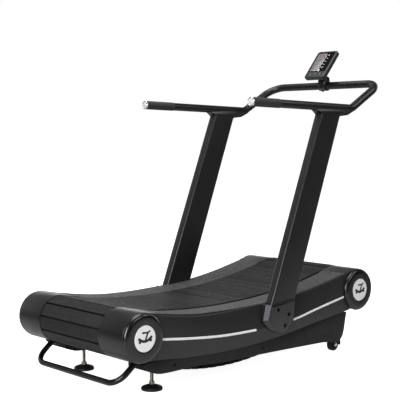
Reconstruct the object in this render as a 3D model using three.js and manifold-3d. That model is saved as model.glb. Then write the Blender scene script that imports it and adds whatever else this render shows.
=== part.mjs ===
// Curved manual treadmill: a slatted running belt on a concave bearing track, between two
// drums, inside a steel frame with plastic covers, two leaning posts, a U-shaped handrail
// and a small console. Millimetres, +Z up, +X is the runner's forward direction, +Y is the
// runner's left, the floor is z = 0. The pieces are drawn with x = 0 midway between the
// drums; the group is then moved so that x = 0 is the middle of the whole length.
// Outlines are lists of [x, z] unless noted, and a span is a [low, high] pair.
import * as THREE from 'three';
import { mergeVertices } from 'three/addons/utils/BufferGeometryUtils.js';
import Module from 'manifold-3d';

const wasm = await Module();
wasm.setup();
const { clamp, degToRad, smoothstep } = THREE.MathUtils;

// ---------------------------------------------------------------- driving dimensions
const SHIFT_X = -65.90;           // drum midpoint -> centre of the whole length
const GAP = 0.4;                  // clearance between neighbouring pieces

const DRUM_R = 90;
const DRUM_HALF = 215;            // half width
const AXLE_R = 12.5;

const SLAT_COUNT = 62;
const SLAT_W = 57.4;              // along the belt
const SLAT_H = 14;                // above the pitch line
const CARRIER_T = 5;              // carrier belt below the pitch line
const BELT_HALF = 224;            // half width
const PITCH_R = DRUM_R + CARRIER_T + 1; // pitch line round the drums, carrier 1 clear of them

// Running surface, top of the slats: coefficients of rising powers of x / TREAD_UNIT.
const TREAD = [340.379, 25.511, 67.2482, 13.6284, 6.04638, -12.2151];
const TREAD_UNIT = 700;
// Free lower run of the pitch line: z = low + curve * (x - lowX) ** 2
const SAG = { low: 37, curve: 3.0357243e-4, lowX: -56.9317 };

const COVER_IN = 228;             // y of the covers' inner and outer faces
const COVER_OUT = 402;
const COVER_T = 4;
const SPLIT_X = 655;              // where side covers meet the drum covers

const FRONT_COVER_LOW_X = 692;    // where the front cover's round part ends below
const FRONT = {
  name: 'front',
  axis: [740, 337],
  direction: 1,
  topAngle: degToRad(90 + 13.25), // where the tread meets the drum
  treadEnd: 714.788,
  sagEnd: 783.6389,
  coverR: 110,
  coverLowAngle: -Math.PI / 2 - Math.asin((740 - FRONT_COVER_LOW_X) / 110),
  coverLowSteps: [1],             // fractions of the way from the axis to the split
  capZ: 335.5,
};
const REAR = {
  name: 'rear',
  axis: [-740, 283],
  direction: -1,
  topAngle: degToRad(90 - 13),
  treadEnd: -715.2554,
  sagEnd: -778.5237,
  coverR: 112,
  coverLowAngle: 1.5 * Math.PI,
  coverLowSteps: [0.5, 1],
  capZ: 283,
};

const PLATE_IN = [238, 243];      // y span of the inner frame plate
const PLATE_OUT = [381, 387];     // outer frame plate
const MOUNT = [350, 361.6];       // post mounting plate

const POST = [366, 415];          // y span
const POST_REAR = [[67, 344], [430, 1279]];   // two points on the rear edge line
const POST_FRONT = [[234, 348], [573, 1259]]; // two points on the front edge line
const BOLTS = [[98, 306], [175, 275], [148, 222]];
const BOLT_HOLE_R = 5.5;

const RAIL_R = 21;                // handrail tube
const RAIL_WALL = 2.5;
const RAIL_Y = 394;
const RAIL_END = [-62, 1317.7];
const RAIL_BEND = [684, 1297.6];
const BAR = [930, 1437];          // axis of the bar across the front
const RAIL_SEGMENTS = 10;

// ---------------------------------------------------------------- spans and point lists
const widen = ([low, high], by) => [low - by, high + by];
const across = (half) => [-half, half];
const onSide = (side, near, far) => (side > 0 ? [near, far] : [-far, -near]);
const stations = (from, to, steps) => Array.from(
  { length: steps + 1 },
  (_, i) => from + (to - from) * i / steps,
);
const arcPoints = ([x, z], radius, from, to, steps) => stations(from, to, steps)
  .map((angle) => [x + radius * Math.cos(angle), z + radius * Math.sin(angle)]);
const vectors = (points) => points.map(([x, y]) => new THREE.Vector2(x, y));

// outline moved outwards by a distance, with mitred corners
function grow(outline, distance) {
  const count = outline.length;
  const winding = Math.sign(THREE.ShapeUtils.area(vectors(outline)));
  return outline.map(([x, z], i) => {
    const before = outline[(i + count - 1) % count];
    const after = outline[(i + 1) % count];
    const arrive = new THREE.Vector2(x - before[0], z - before[1]).normalize();
    const leave = new THREE.Vector2(after[0] - x, after[1] - z).normalize();
    const out = new THREE.Vector2(
      winding * (arrive.y + leave.y),
      -winding * (arrive.x + leave.x),
    ).normalize();
    const cosine = winding * (out.x * arrive.y - out.y * arrive.x);
    const reach = distance / Math.max(0.4, cosine);
    return [x + out.x * reach, z + out.y * reach];
  });
}

// smooth function z(x) through [x, z] knots
function smoothCurve(knots) {
  const last = knots.length - 1;
  const slopes = knots.map((_, i) => {
    const before = knots[Math.max(i - 1, 0)];
    const after = knots[Math.min(i + 1, last)];
    return (after[1] - before[1]) / (after[0] - before[0]);
  });
  return (x) => {
    let i = 0;
    while (i < last - 1 && x > knots[i + 1][0]) i++;
    const [x0, z0] = knots[i];
    const [x1, z1] = knots[i + 1];
    const width = x1 - x0;
    const t = (x - x0) / width;
    return (2 * t ** 3 - 3 * t ** 2 + 1) * z0
      + (t ** 3 - 2 * t ** 2 + t) * width * slopes[i]
      + (-2 * t ** 3 + 3 * t ** 2) * z1
      + (t ** 3 - t ** 2) * width * slopes[i + 1];
  };
}

// ---------------------------------------------------------------- solids
// manifold from a closed geometry, turned to face outwards
function solid(geometry) {
  const bare = new THREE.BufferGeometry();
  bare.setAttribute('position', geometry.getAttribute('position'));
  bare.setIndex(geometry.index);
  const merged = mergeVertices(bare, 1e-4);
  const positions = merged.attributes.position.array;
  const corners = merged.index.array;
  const triangles = [];
  const [a, b, c] = [0, 1, 2].map(() => new THREE.Vector3());
  let volume = 0;
  for (let i = 0; i < corners.length; i += 3) {
    const [p, q, r] = corners.slice(i, i + 3);
    if (p === q || q === r || p === r) continue;
    triangles.push(p, q, r);
    a.fromArray(positions, p * 3);
    b.fromArray(positions, q * 3);
    c.fromArray(positions, r * 3);
    volume += a.dot(b.cross(c));
  }
  if (volume < 0) turnOver(triangles);
  return new wasm.Manifold(new wasm.Mesh({
    numProp: 3,
    vertProperties: new Float32Array(positions),
    triVerts: new Uint32Array(triangles),
  }));
}

function turnOver(triangles) {
  for (let i = 0; i < triangles.length; i += 3) {
    [triangles[i], triangles[i + 1]] = [triangles[i + 1], triangles[i]];
  }
}

function indexedGeometry(positions, triangles) {
  const geometry = new THREE.BufferGeometry();
  geometry.setAttribute('position', new THREE.Float32BufferAttribute(positions, 3));
  geometry.setIndex(triangles);
  return geometry;
}

const join = (...parts) => parts.reduce((whole, part) => whole.add(part));
const cut = (base, ...tools) => tools.reduce((rest, tool) => rest.subtract(tool), base);

// [x, z] outline extruded over a y span
function plate(outline, [y0, y1]) {
  const shape = new THREE.Shape(vectors(outline));
  const geometry = new THREE.ExtrudeGeometry(shape, { depth: y1 - y0, bevelEnabled: false });
  geometry.rotateX(Math.PI / 2);
  geometry.translate(0, y1, 0);
  return solid(geometry);
}

function box([x0, x1], [y0, y1], [z0, z1]) {
  const geometry = new THREE.BoxGeometry(x1 - x0, y1 - y0, z1 - z0);
  geometry.translate((x0 + x1) / 2, (y0 + y1) / 2, (z0 + z1) / 2);
  return solid(geometry);
}

function rodY([x, z], radius, [y0, y1], segments) {
  const geometry = new THREE.CylinderGeometry(radius, radius, y1 - y0, segments);
  geometry.translate(x, (y0 + y1) / 2, z);
  return solid(geometry);
}

function rodZ([x, y], radius, [z0, z1], segments) {
  const geometry = new THREE.CylinderGeometry(radius, radius, z1 - z0, segments);
  geometry.rotateX(Math.PI / 2);
  geometry.translate(x, y, (z0 + z1) / 2);
  return solid(geometry);
}

// [radius, y] profile turned about a y axis
function turnedY(profile, [x, z], segments) {
  const geometry = new THREE.LatheGeometry(vectors(profile), segments);
  geometry.translate(x, 0, z);
  return solid(geometry);
}

// [radius, z] profile turned about a z axis
function turnedZ(profile, [x, y], segments) {
  const geometry = new THREE.LatheGeometry(vectors(profile), segments);
  geometry.rotateX(Math.PI / 2);
  geometry.translate(x, y, 0);
  return solid(geometry);
}

// triangles filling an outline, wound the same way as the outline
function fill(outline) {
  const points = vectors(outline);
  const { area, triangulateShape } = THREE.ShapeUtils;
  const winding = Math.sign(area(points));
  return triangulateShape(points, []).map(([p, q, r]) => {
    const same = Math.sign(area([points[p], points[q], points[r]])) === winding;
    return same ? [p, q, r] : [p, r, q];
  });
}

// skin over sections of equal point count: [[x, [[y, z], ...]], ...]
function loft(sections) {
  const count = sections[0][1].length;
  const lastStart = (sections.length - 1) * count;
  const positions = sections.flatMap(([x, points]) => points.flatMap(([y, z]) => [x, y, z]));
  const triangles = [];
  for (let start = 0; start < lastStart; start += count) {
    for (let i = 0; i < count; i++) {
      const here = start + i;
      const beside = start + (i + 1) % count;
      triangles.push(here, beside, beside + count, here, beside + count, here + count);
    }
  }
  // the side quads run along the outline, so the first end is wound against it
  for (const [p, q, r] of fill(sections[0][1])) {
    triangles.push(p, r, q, lastStart + p, lastStart + q, lastStart + r);
  }
  return solid(indexedGeometry(positions, triangles));
}

// ---------------------------------------------------------------- tubes along bent paths
// fixed stations with exact tangents, in the form ExtrudeGeometry asks for
class StationCurve extends THREE.Curve {
  constructor(points, tangents) {
    super();
    this.points = points;
    this.tangents = tangents;
  }

  getSpacedPoints() {
    return this.points.map((point) => point.clone());
  }

  getTangentAt(u, target = new THREE.Vector3()) {
    return target.copy(this.tangents[Math.round(u * (this.tangents.length - 1))]);
  }
}

// polyline of [x, y, z] corners, each rounded with its radius in its number of steps
function roundedPath(corners, radii, steps) {
  const places = corners.map((corner) => new THREE.Vector3(...corner));
  const directions = places.slice(1)
    .map((place, i) => place.clone().sub(places[i]).normalize());
  const points = [places[0]];
  const tangents = [directions[0]];
  for (let i = 1; i + 1 < places.length; i++) {
    const arrive = directions[i - 1];
    const leave = directions[i];
    const turn = Math.acos(clamp(arrive.dot(leave), -1, 1));
    const start = places[i].clone().addScaledVector(arrive, -radii[i] * Math.tan(turn / 2));
    const inward = leave.clone().addScaledVector(arrive, -leave.dot(arrive)).normalize();
    const centre = start.addScaledVector(inward, radii[i]);
    for (const angle of stations(0, turn, steps[i])) {
      points.push(centre.clone()
        .addScaledVector(inward, -radii[i] * Math.cos(angle))
        .addScaledVector(arrive, radii[i] * Math.sin(angle)));
      tangents.push(arrive.clone().multiplyScalar(Math.cos(angle))
        .addScaledVector(inward, Math.sin(angle)));
    }
  }
  points.push(places.at(-1));
  tangents.push(directions.at(-1));
  return new StationCurve(points, tangents);
}

// U-shaped path from its left half, end first
function mirroredPath(corners, radii, steps) {
  const right = corners.map(([x, y, z]) => [x, -y, z]).reverse();
  const twice = (values) => [...values, ...[...values].reverse()];
  return roundedPath([...corners, ...right], twice(radii), twice(steps));
}

function tube(path, radius, segments) {
  const ring = Array.from({ length: segments }, (_, i) => {
    const angle = 2 * Math.PI * (i + 0.5) / segments;
    return new THREE.Vector2(radius * Math.cos(angle), radius * Math.sin(angle));
  });
  return solid(new THREE.ExtrudeGeometry(
    new THREE.Shape(ring),
    { steps: path.points.length - 1, extrudePath: path },
  ));
}

// ---------------------------------------------------------------- long curves of the body
const treadZ = (x) => TREAD.reduce((z, k, i) => z + k * (x / TREAD_UNIT) ** i, 0);
const treadSlope = (x) => TREAD.slice(1).reduce(
  (slope, k, i) => slope + k * (i + 1) * (x / TREAD_UNIT) ** i / TREAD_UNIT,
  0,
);
// point at a depth below the running surface, measured square to it
const belowTread = (x, depth) => {
  const slope = treadSlope(x);
  const drop = depth / Math.hypot(1, slope);
  return [x + drop * slope, treadZ(x) - drop];
};

// outer edge of the standing rails
const standingRailZ = smoothCurve([
  [-SPLIT_X, treadZ(-SPLIT_X) + 2], [-520, 357.8], [-387, 343], [-260, 338.5], [-130, 338.5],
  [0, 341.5], [130, 348.5], [234, 357.5], [300, 364.8], [400, 379.8], [500, 398.2], [600, 419],
  [SPLIT_X, treadZ(SPLIT_X)],
]);
const topZ = (x) => {
  if (x < -SPLIT_X) return treadZ(x) + 2;
  return x > SPLIT_X ? treadZ(x) : standingRailZ(x);
};
// inner edge of the standing rails, just below the slats except near the two ends
const innerZ = (x) => topZ(x)
  + (treadZ(x) - 4.5 - topZ(x)) * smoothstep(x, -650, -500) * (1 - smoothstep(x, 600, 652));
// lower edge of the covers
const bottomZ = smoothCurve([
  [-740, 171], [-644, 171], [-463, 155], [-270, 147], [-66, 150], [150, 165], [381, 195],
  [560, 218.5], [664, 231], [700, 235],
]);
// crease along the side covers, where they are widest
const creaseZ = smoothCurve([
  [-700, 268], [-635, 262], [-462, 242], [-270, 226], [-100, 222], [60, 224], [234, 238],
  [439, 275], [656, 312], [700, 319],
]);
// y of the side covers' upper edge and lower hem
const edgeY = (x) => 386 + 12 * (x / SPLIT_X) ** 2;
const hemY = (x) => 393.5 + 7 * (x / SPLIT_X) ** 2;

// ---------------------------------------------------------------- side frames
// lower edge of the outer plate and of the floor flange
const FRAME_FOOT = [
  [-690, 122], [-631, 104], [-518, 102], [-376, 103], [-244, 94], [51, 92], [490, 83], [615, 77],
];
const INNER_PLATE_FOOT = [
  [-662, 192], [-645, 186], [-640, 112], [-518, 106], [-376, 105], [-244, 95], [51, 93],
  [490, 84], [612, 78], [634, 92], [642, 150], [646, 246], [660, 252],
];
const MOUNT_OUTLINE = [
  [-6, 250], [-6, 318], [215, 322], [205, 250], [165, 196], [120, 180], [50, 205],
];
// rear face x, bottom z, top z
const FRAME_RIBS = [
  [-690, 124, 164], [-500, 105, 225], [-250, 95, 200], [300, 88, 225], [560, 81, 270],
];
const BETWEEN_PLATES = [PLATE_IN[0] + 1, PLATE_OUT[1] - 1];
const FOOT = [-572, 262];         // x, y of the left levelling foot

function innerFramePlate() {
  const bossR = 58;
  const outline = [
    ...arcPoints(REAR.axis, bossR, Math.PI / 2, 1.5 * Math.PI, 6),
    ...INNER_PLATE_FOOT,
    ...arcPoints(FRONT.axis, bossR, 1.5 * Math.PI, 2.5 * Math.PI, 6),
    ...[620, 450, 250, 50, -150, -350, -520, -640].map((x) => [x, treadZ(x) - 34]),
  ];
  const hole = ({ axis }) => rodY(axis, 20, widen(PLATE_IN, 1), 12);
  return cut(plate(outline, PLATE_IN), hole(REAR), hole(FRONT));
}

function outerFramePlate() {
  const belowCrease = (x) => [x, creaseZ(x) - 8];
  return plate([
    [-719, 157], ...FRAME_FOOT, [646, 109], [672, 221], [648, 224],
    ...[640, 540, 420, 300, 244].map(belowCrease),
    [232, 176], [-34, 176],       // opening below the post
    ...[-50, -200, -400, -560, -640].map(belowCrease),
    [-650, 165], [-712, 165],
  ], PLATE_OUT);
}

function sideFrame() {
  const flange = [...FRAME_FOOT, ...FRAME_FOOT.map(([x, z]) => [x, z + 5]).reverse()];
  const rearLink = [[-690, 124], [-690, 160], [-640, 170], [-636, 112]];
  const frame = join(
    innerFramePlate(),
    outerFramePlate(),
    plate(flange, BETWEEN_PLATES),
    ...FRAME_RIBS.map(([x, z0, z1]) => box([x, x + 5], BETWEEN_PLATES, [z0, z1])),
    // from the rearmost rib to the inner plate
    plate(rearLink, [PLATE_IN[0] + 1, PLATE_IN[0] + 6]),
    // post mounting plate, its two ribs and the web below it
    plate(MOUNT_OUTLINE, MOUNT),
    ...[10, 197].map((x) => box([x, x + 6], [PLATE_IN[0] + 1, MOUNT[0] + 2], [91, 312])),
    box([10, 203], [MOUNT[0] + 1, MOUNT[0] + 6], [94, 205]),
  );
  const smallHole = (place) => rodY(place, 4, [PLATE_OUT[0] - 2, PLATE_OUT[1] + 1], 6);
  return cut(
    frame,
    rodZ(FOOT, 9.3, [90, 130], 12),
    ...BOLTS.map((place) => rodY(place, BOLT_HOLE_R, [MOUNT[0] - 10, MOUNT[1] + 1], 8)),
    smallHole([-541, 128]),
    smallHole([32, 118]),
  );
}

// ---------------------------------------------------------------- cross members
// inside the belt loop; x of the middle, z of the underside
const CROSSMEMBERS = [
  { name: 'rear_crossmember', x: -450, z: 190 },
  { name: 'middle_crossmember', x: 0, z: 172 },
  { name: 'front_crossmember', x: 450, z: 222 },
];
const CROSS_H = 60;
const CROSS_W = 40;
const CROSS_WALL = 3;

// box tube with a flange at either end
function crossmember({ x, z }) {
  const end = PLATE_IN[0] - GAP;
  const wide = [x - CROSS_W / 2, x + CROSS_W / 2];
  const high = [z, z + CROSS_H];
  const bore = box(widen(wide, -CROSS_WALL), across(end + 1), widen(high, -CROSS_WALL));
  const flange = (side) => cut(
    box([x - 42, x + 42], onSide(side, end - 6, end), widen(high, 10)),
    bore,
  );
  return join(cut(box(wide, across(end - 3), high), bore), flange(-1), flange(1));
}

// ---------------------------------------------------------------- curved bearing rails
const TRACK_END = 640;
const TRACK_WEB = [186, 190.5];   // y span
const ROLLER_R = 12.5;

function bearingRail() {
  const xs = stations(-TRACK_END, TRACK_END, 10);
  const upper = xs.map((x) => [x, treadZ(x) - 25]);
  const lower = xs.map((x) => [x, treadZ(x) - 68]).reverse();
  const feet = CROSSMEMBERS.flatMap(({ x, z }) => {
    const seat = z + CROSS_H;
    const wide = [x - CROSS_W / 2, x + CROSS_W / 2];
    return [
      box(wide, [168, 190], [seat + GAP, seat + 6]),
      box(wide, TRACK_WEB, [seat + GAP, treadZ(x) - 60]),
    ];
  });
  const depth = SLAT_H + CARRIER_T + 0.7 + ROLLER_R;
  const rollers = stations(-612, 612, 12)
    .map((x) => rodY(belowTread(x, depth), ROLLER_R, [190, 210], 8));
  return join(plate([...upper, ...lower], TRACK_WEB), ...feet, ...rollers);
}

// ---------------------------------------------------------------- slatted running belt
const SLAT_FOOT = 1.5;            // bottom of the gaps, above the pitch line
const FIRST_GAP_ANGLE = degToRad(166); // where one gap lies round the rear drum

// closed pitch line: rear drum from the top, lower run, front drum, upper run
function pitchLine() {
  // direction square to the lower run, pointing down
  const downAngle = (x) => Math.atan(2 * SAG.curve * (x - SAG.lowX)) - Math.PI / 2;
  const rearLow = downAngle(REAR.sagEnd) + 2 * Math.PI;
  const frontLow = downAngle(FRONT.sagEnd);
  const parts = [
    arcPoints(REAR.axis, PITCH_R, REAR.topAngle, rearLow, 240),
    stations(REAR.sagEnd, FRONT.sagEnd, 1500)
      .map((x) => [x, SAG.low + SAG.curve * (x - SAG.lowX) ** 2]),
    arcPoints(FRONT.axis, PITCH_R, frontLow, FRONT.topAngle, 240),
    stations(FRONT.treadEnd, REAR.treadEnd, 1500).map((x) => belowTread(x, SLAT_H)),
  ];
  return parts.flatMap((part) => part.slice(0, -1)); // each part ends where the next starts
}

// measures a closed path; at(distance) gives a function of a further distance along
// the tangent there and a distance outwards
function measured(path) {
  const next = (i) => path[(i + 1) % path.length];
  const reached = [0];
  path.forEach(([x, z], i) => {
    reached.push(reached[i] + Math.hypot(next(i)[0] - x, next(i)[1] - z));
  });
  const total = reached[path.length];
  const at = (distance) => {
    const wrapped = ((distance % total) + total) % total;
    let low = 0;
    let high = path.length;
    while (high - low > 1) {
      const middle = (low + high) >> 1;
      if (reached[middle] <= wrapped) low = middle;
      else high = middle;
    }
    const [x, z] = path[low];
    const step = reached[low + 1] - reached[low];
    const tangentX = (next(low)[0] - x) / step;
    const tangentZ = (next(low)[1] - z) / step;
    return (along, out) => {
      const forward = wrapped - reached[low] + along;
      return [
        x + tangentX * forward + tangentZ * out,
        z + tangentZ * forward - tangentX * out,
      ];
    };
  };
  return { total, at };
}

// one cell per slat: the slat's corners outside, the carrier's inner face inside
function slatBelt() {
  const { total, at } = measured(pitchLine());
  const pitch = total / SLAT_COUNT;
  const phase = PITCH_R * (FIRST_GAP_ANGLE - REAR.topAngle);
  const points = [];
  const addPoint = (point) => points.push(point) - 1;
  const cells = Array.from({ length: SLAT_COUNT }, (_, i) => {
    const fromMiddle = at(phase + (i + 0.5) * pitch);
    const corners = [
      [-SLAT_W / 2, SLAT_FOOT], [-SLAT_W / 2, SLAT_H], [SLAT_W / 2, SLAT_H],
    ];
    const outer = corners.map(([along, out]) => addPoint(fromMiddle(along, out)));
    // finer steps round the drums; cell seams lie slightly before the pitch marks
    const steps = Math.abs(fromMiddle(0, 0)[0]) > 700 ? 4 : 1;
    const inner = stations(0, 1, steps).slice(0, -1)
      .map((part) => addPoint(at(phase + (i - 0.02 + part) * pitch)(0, -CARRIER_T)));
    return { outer, inner };
  });

  // each point gives a right vertex, 2 * k, and a left vertex, 2 * k + 1
  const positions = points.flatMap(([x, z]) => [x, -BELT_HALF, z, x, BELT_HALF, z]);
  const triangles = [];
  const strip = (from, to) => triangles.push(
    2 * from, 2 * to, 2 * to + 1,
    2 * from, 2 * to + 1, 2 * from + 1,
  );
  cells.forEach(({ outer, inner }, i) => {
    const next = cells[(i + 1) % SLAT_COUNT];
    const outside = [...outer, next.outer[0]];
    const inside = [...inner, next.inner[0]].reverse();
    for (const line of [outside, inside]) {
      for (let k = 0; k + 1 < line.length; k++) strip(line[k], line[k + 1]);
    }
    const loop = [...outside, ...inside];
    for (const face of fill(loop.map((k) => points[k]))) {
      const [p, q, r] = face.map((k) => 2 * loop[k]);
      triangles.push(p, r, q, p + 1, q + 1, r + 1);
    }
  });
  return solid(indexedGeometry(positions, triangles));
}

// ---------------------------------------------------------------- drums, axles, bearings
function drum({ axis }) {
  const [x, z] = axis;
  let body = cut(
    rodY(axis, DRUM_R, across(DRUM_HALF), 22),
    rodY(axis, DRUM_R - 6, across(DRUM_HALF + 1), 22),
  );
  for (const side of [-1, 1]) {
    const holes = [0, 1, 2].map((i) => {
      const angle = Math.PI / 2 + i * 2 * Math.PI / 3;
      const place = [x + 52 * Math.cos(angle), z + 52 * Math.sin(angle)];
      return rodY(place, 17, onSide(side, 190, 210), 6);
    });
    const web = cut(rodY(axis, DRUM_R - 3, onSide(side, 196, 204), 22), ...holes);
    const hub = rodY(axis, 22, onSide(side, 200, 214), 10);
    body = join(body, web, hub);
  }
  return cut(body, rodY(axis, AXLE_R + 0.5, across(DRUM_HALF + 1), 12));
}

const axle = ({ axis }) => rodY(axis, AXLE_R, across(276), 12);

// flanged bearing on the outer face of the inner frame plate
function bearing({ axis }) {
  const [x, z] = axis;
  const y = PLATE_IN[1] + GAP;
  const flange = [
    [-48, -34], [-34, -48], [34, -48], [48, -34], [48, 34], [34, 48], [-34, 48], [-48, 34],
  ].map(([dx, dz]) => [x + dx, z + dz]);
  return cut(
    join(plate(flange, [y, y + 11]), rodY(axis, 34, [y + 1, y + 27], 12)),
    rodY(axis, AXLE_R + 0.6, [y - 1, y + 30], 12),
  );
}

// ---------------------------------------------------------------- side covers
// outer edge of the shoe at the foot of each post
const SHOE = [
  [4, 255], [52, 212], [121, 184], [168, 202], [213, 248], [226, 348], [65, 331], [24, 339],
];

const xOnLine = ([[x0, z0], [x1, z1]], z) => x0 + (x1 - x0) * (z - z0) / (z1 - z0);
// post between two heights, its front and rear edges moved outwards
const postOutline = (z0, z1, outwards) => [
  [xOnLine(POST_REAR, z0) - outwards, z0], [xOnLine(POST_FRONT, z0) + outwards, z0],
  [xOnLine(POST_FRONT, z1) + outwards, z1], [xOnLine(POST_REAR, z1) - outwards, z1],
];

// [y, z] section: over the outside from the inner edge, then back along the inside
function coverSection(x) {
  const top = topZ(x);
  const inner = innerZ(x);
  const crease = creaseZ(x);
  const bottom = bottomZ(x);
  const edge = edgeY(x);
  const hem = hemY(x);
  return [x, [
    [COVER_IN, inner], [edge - 12, top], [edge - 4, top - 3], [edge, top - 11],
    [COVER_OUT, crease], [hem, bottom],
    [hem - COVER_T, bottom], [COVER_OUT - COVER_T, crease],
    [edge - 4, top - 12], [edge - 7, top - 6.5], [edge - 13, top - 4],
    [COVER_IN + COVER_T, inner - 4], [COVER_IN + COVER_T, inner - 15], [COVER_IN, inner - 15],
  ]];
}

function sideCover() {
  const end = SPLIT_X - GAP;
  return cut(
    loft(stations(-end, end, 14).map(coverSection)),
    plate(grow(SHOE, 1.2), [356, 420]),
    plate(postOutline(300, 380, 1.5), [363, 420]),
  );
}

// stripe along the crease
function accentStripe(from, to) {
  const near = COVER_OUT + GAP;
  const far = COVER_OUT + 2.8;
  const halfH = 5.6;
  return loft(stations(from, to, Math.ceil((to - from) / 60)).map((x) => {
    const low = creaseZ(x) - halfH;
    const high = creaseZ(x) + halfH;
    return [x, [[near, low], [far, low], [far, high], [near, high]]];
  }));
}

// ---------------------------------------------------------------- drum covers and end caps
const CAP_R = 110.5;
const CAP_OUT = 422;              // y of the cap's rim
const BADGE_R = 58;

// side outline from the split: tread line, round the drum, lower edge
function drumCoverOutline(end, inset, splitX) {
  const [axisX] = end.axis;
  const radius = end.coverR - inset;
  const split = end.direction * splitX;
  const joinX = axisX + radius * Math.cos(end.topAngle);
  const upper = [0, 0.35, 0.7].map((part) => {
    const x = split + (joinX - split) * part;
    return [x, topZ(x) - inset];
  });
  const lower = end.coverLowSteps.map((part) => {
    const x = axisX + (split - axisX) * part;
    return [x, bottomZ(x) + inset];
  });
  const round = arcPoints(end.axis, radius, end.topAngle, end.coverLowAngle, 14);
  return [...upper, ...round, ...lower];
}

// shell open towards the side cover, with a large opening in its inner wall
function drumCover(end) {
  const openX = SPLIT_X - 6;
  return cut(
    plate(drumCoverOutline(end, 0, SPLIT_X), [COVER_IN, COVER_OUT]),
    plate(drumCoverOutline(end, COVER_T, openX), widen([COVER_IN, COVER_OUT], -COVER_T)),
    plate(drumCoverOutline(end, 16, openX), [COVER_IN - 1, COVER_IN + 5]),
  );
}

function endCap({ axis, capZ }) {
  const back = COVER_OUT + 0.5;
  return turnedY([
    [0, 413], [100, 413], [100, back], [CAP_R, back], [CAP_R, 407], [107, 415.5], [101.5, 420],
    [94, CAP_OUT], [BADGE_R + 3, CAP_OUT], [BADGE_R + 3, 418.4], [0, 418.4],
  ], [axis[0], capZ], 22);
}

function badge({ axis, capZ }) {
  const profile = [[0, 418.8], [BADGE_R, 418.8], [BADGE_R, 421.4], [0, 421.4]];
  return turnedY(profile, [axis[0], capZ], 22);
}

// ---------------------------------------------------------------- handrail
const RAIL_RADII = [0, 70, 90];   // end, bend, corner
const RAIL_STEPS = [0, 3, 5];
const GRIP_R = 22.6;
const GRIP_X = 128;               // front end of the grip

// point on the axis of the straight part of the rail
const RAIL_SLOPE = (RAIL_BEND[1] - RAIL_END[1]) / (RAIL_BEND[0] - RAIL_END[0]);
const alongRail = (x) => [x, RAIL_Y, RAIL_END[1] + (x - RAIL_END[0]) * RAIL_SLOPE];
const leftRail = (startX) => [
  alongRail(startX),
  [RAIL_BEND[0], RAIL_Y, RAIL_BEND[1]],
  [BAR[0], RAIL_Y, BAR[1]],
];

function handlebar() {
  const path = (startX) => mirroredPath(leftRail(startX), RAIL_RADII, RAIL_STEPS);
  return cut(
    tube(path(RAIL_END[0]), RAIL_R, RAIL_SEGMENTS),
    tube(path(RAIL_END[0] - 5), RAIL_R - RAIL_WALL, RAIL_SEGMENTS),
  );
}

// straight piece on the rail's axis, x measured from the rail's rear end
function railSleeve(from, to, radius, segments) {
  const ends = [alongRail(RAIL_END[0] + from), alongRail(RAIL_END[0] + to)];
  return tube(roundedPath(ends, [0, 0], [0, 0]), radius, segments);
}

function grip() {
  const length = GRIP_X - RAIL_END[0];
  return cut(
    railSleeve(GAP, length, GRIP_R, RAIL_SEGMENTS),
    railSleeve(-3, length + 3, RAIL_R + GAP + 0.1, RAIL_SEGMENTS),
  );
}

function gripEndCap() {
  return join(
    railSleeve(-8.5, -GAP, GRIP_R - 0.2, 16),
    railSleeve(-10.5, -8, GRIP_R - 4, 12),
    railSleeve(-2, 22, RAIL_R - RAIL_WALL - 1, RAIL_SEGMENTS),
  );
}

// ---------------------------------------------------------------- posts, shoes, bolts
const POST_WALL = 4;
const POST_BOTTOM = 262;
const POST_TOP = 1268;
const SHOE_Y = [362, 425];
const SHOE_FACE = [
  [17, 256], [58, 216], [121, 187], [166, 205], [210, 249], [222, 345], [67, 329], [42, 335],
];
// filler between the post's top and the handrail
const SADDLE = [
  [390, 1290], [394, 1283], [426, 1266], [430, 1255], [570, 1250], [576, 1256], [640, 1262],
  [688, 1283], [694, 1290], [640, 1295], [560, 1298],
];
const BOLT_PLATE = [[82, 322], [190, 292], [191, 262], [166, 208], [134, 208], [82, 290]];

function upright() {
  const railPath = roundedPath(leftRail(300), [0, RAIL_RADII[1], 0], [0, RAIL_STEPS[1], 0]);
  const hollow = postOutline(POST_BOTTOM - 10, POST_TOP - 8, -POST_WALL);
  const shell = cut(
    plate(postOutline(POST_BOTTOM, POST_TOP, 0), POST),
    plate(hollow, widen(POST, -POST_WALL)),
  );
  return cut(
    join(shell, plate(SADDLE, widen(POST, -5))),
    tube(railPath, RAIL_R + GAP, RAIL_SEGMENTS),
    ...BOLTS.slice(0, 2).map((place) => rodY(place, BOLT_HOLE_R, widen(POST, 1), 8)),
  );
}

function uprightShoe() {
  const [near, far] = SHOE_Y;
  const body = join(
    plate(SHOE, [near, 412]),
    plate(SHOE_FACE, [410, far - 2]),
    plate(grow(SHOE_FACE, -2), [far - 3, far]),
  );
  return cut(
    body,
    plate(postOutline(POST_BOTTOM - 4, 380, 0.5), widen(POST, GAP)),
    ...BOLTS.map((place) => rodY(place, BOLT_HOLE_R, widen(SHOE_Y, 1), 8)),
    ...BOLTS.map((place) => rodY(place, 10, [418.5, far + 1], 8)),
  );
}

// three bolts on a plate behind the mounting plate
function uprightBolts() {
  return join(
    plate(BOLT_PLATE, [343.5, MOUNT[0] - GAP]),
    ...BOLTS.flatMap((place) => [
      rodY(place, 5, [346, 420], 8),
      rodY(place, 8.5, [418.9, 424], 8),
    ]),
  );
}

// ---------------------------------------------------------------- console and its clamp
const PANEL_ORIGIN = [835, 0, 1481.9]; // face, middle of its lower edge
const PANEL_TILT = degToRad(50);  // face above the horizontal
const PANEL_UP = new THREE.Vector3(Math.cos(PANEL_TILT), 0, Math.sin(PANEL_TILT));
const PANEL_BACK = new THREE.Vector3(Math.sin(PANEL_TILT), 0, -Math.cos(PANEL_TILT));
const PANEL_W = 145;
const PANEL_H = 202;
const PANEL_T = 28;
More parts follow.
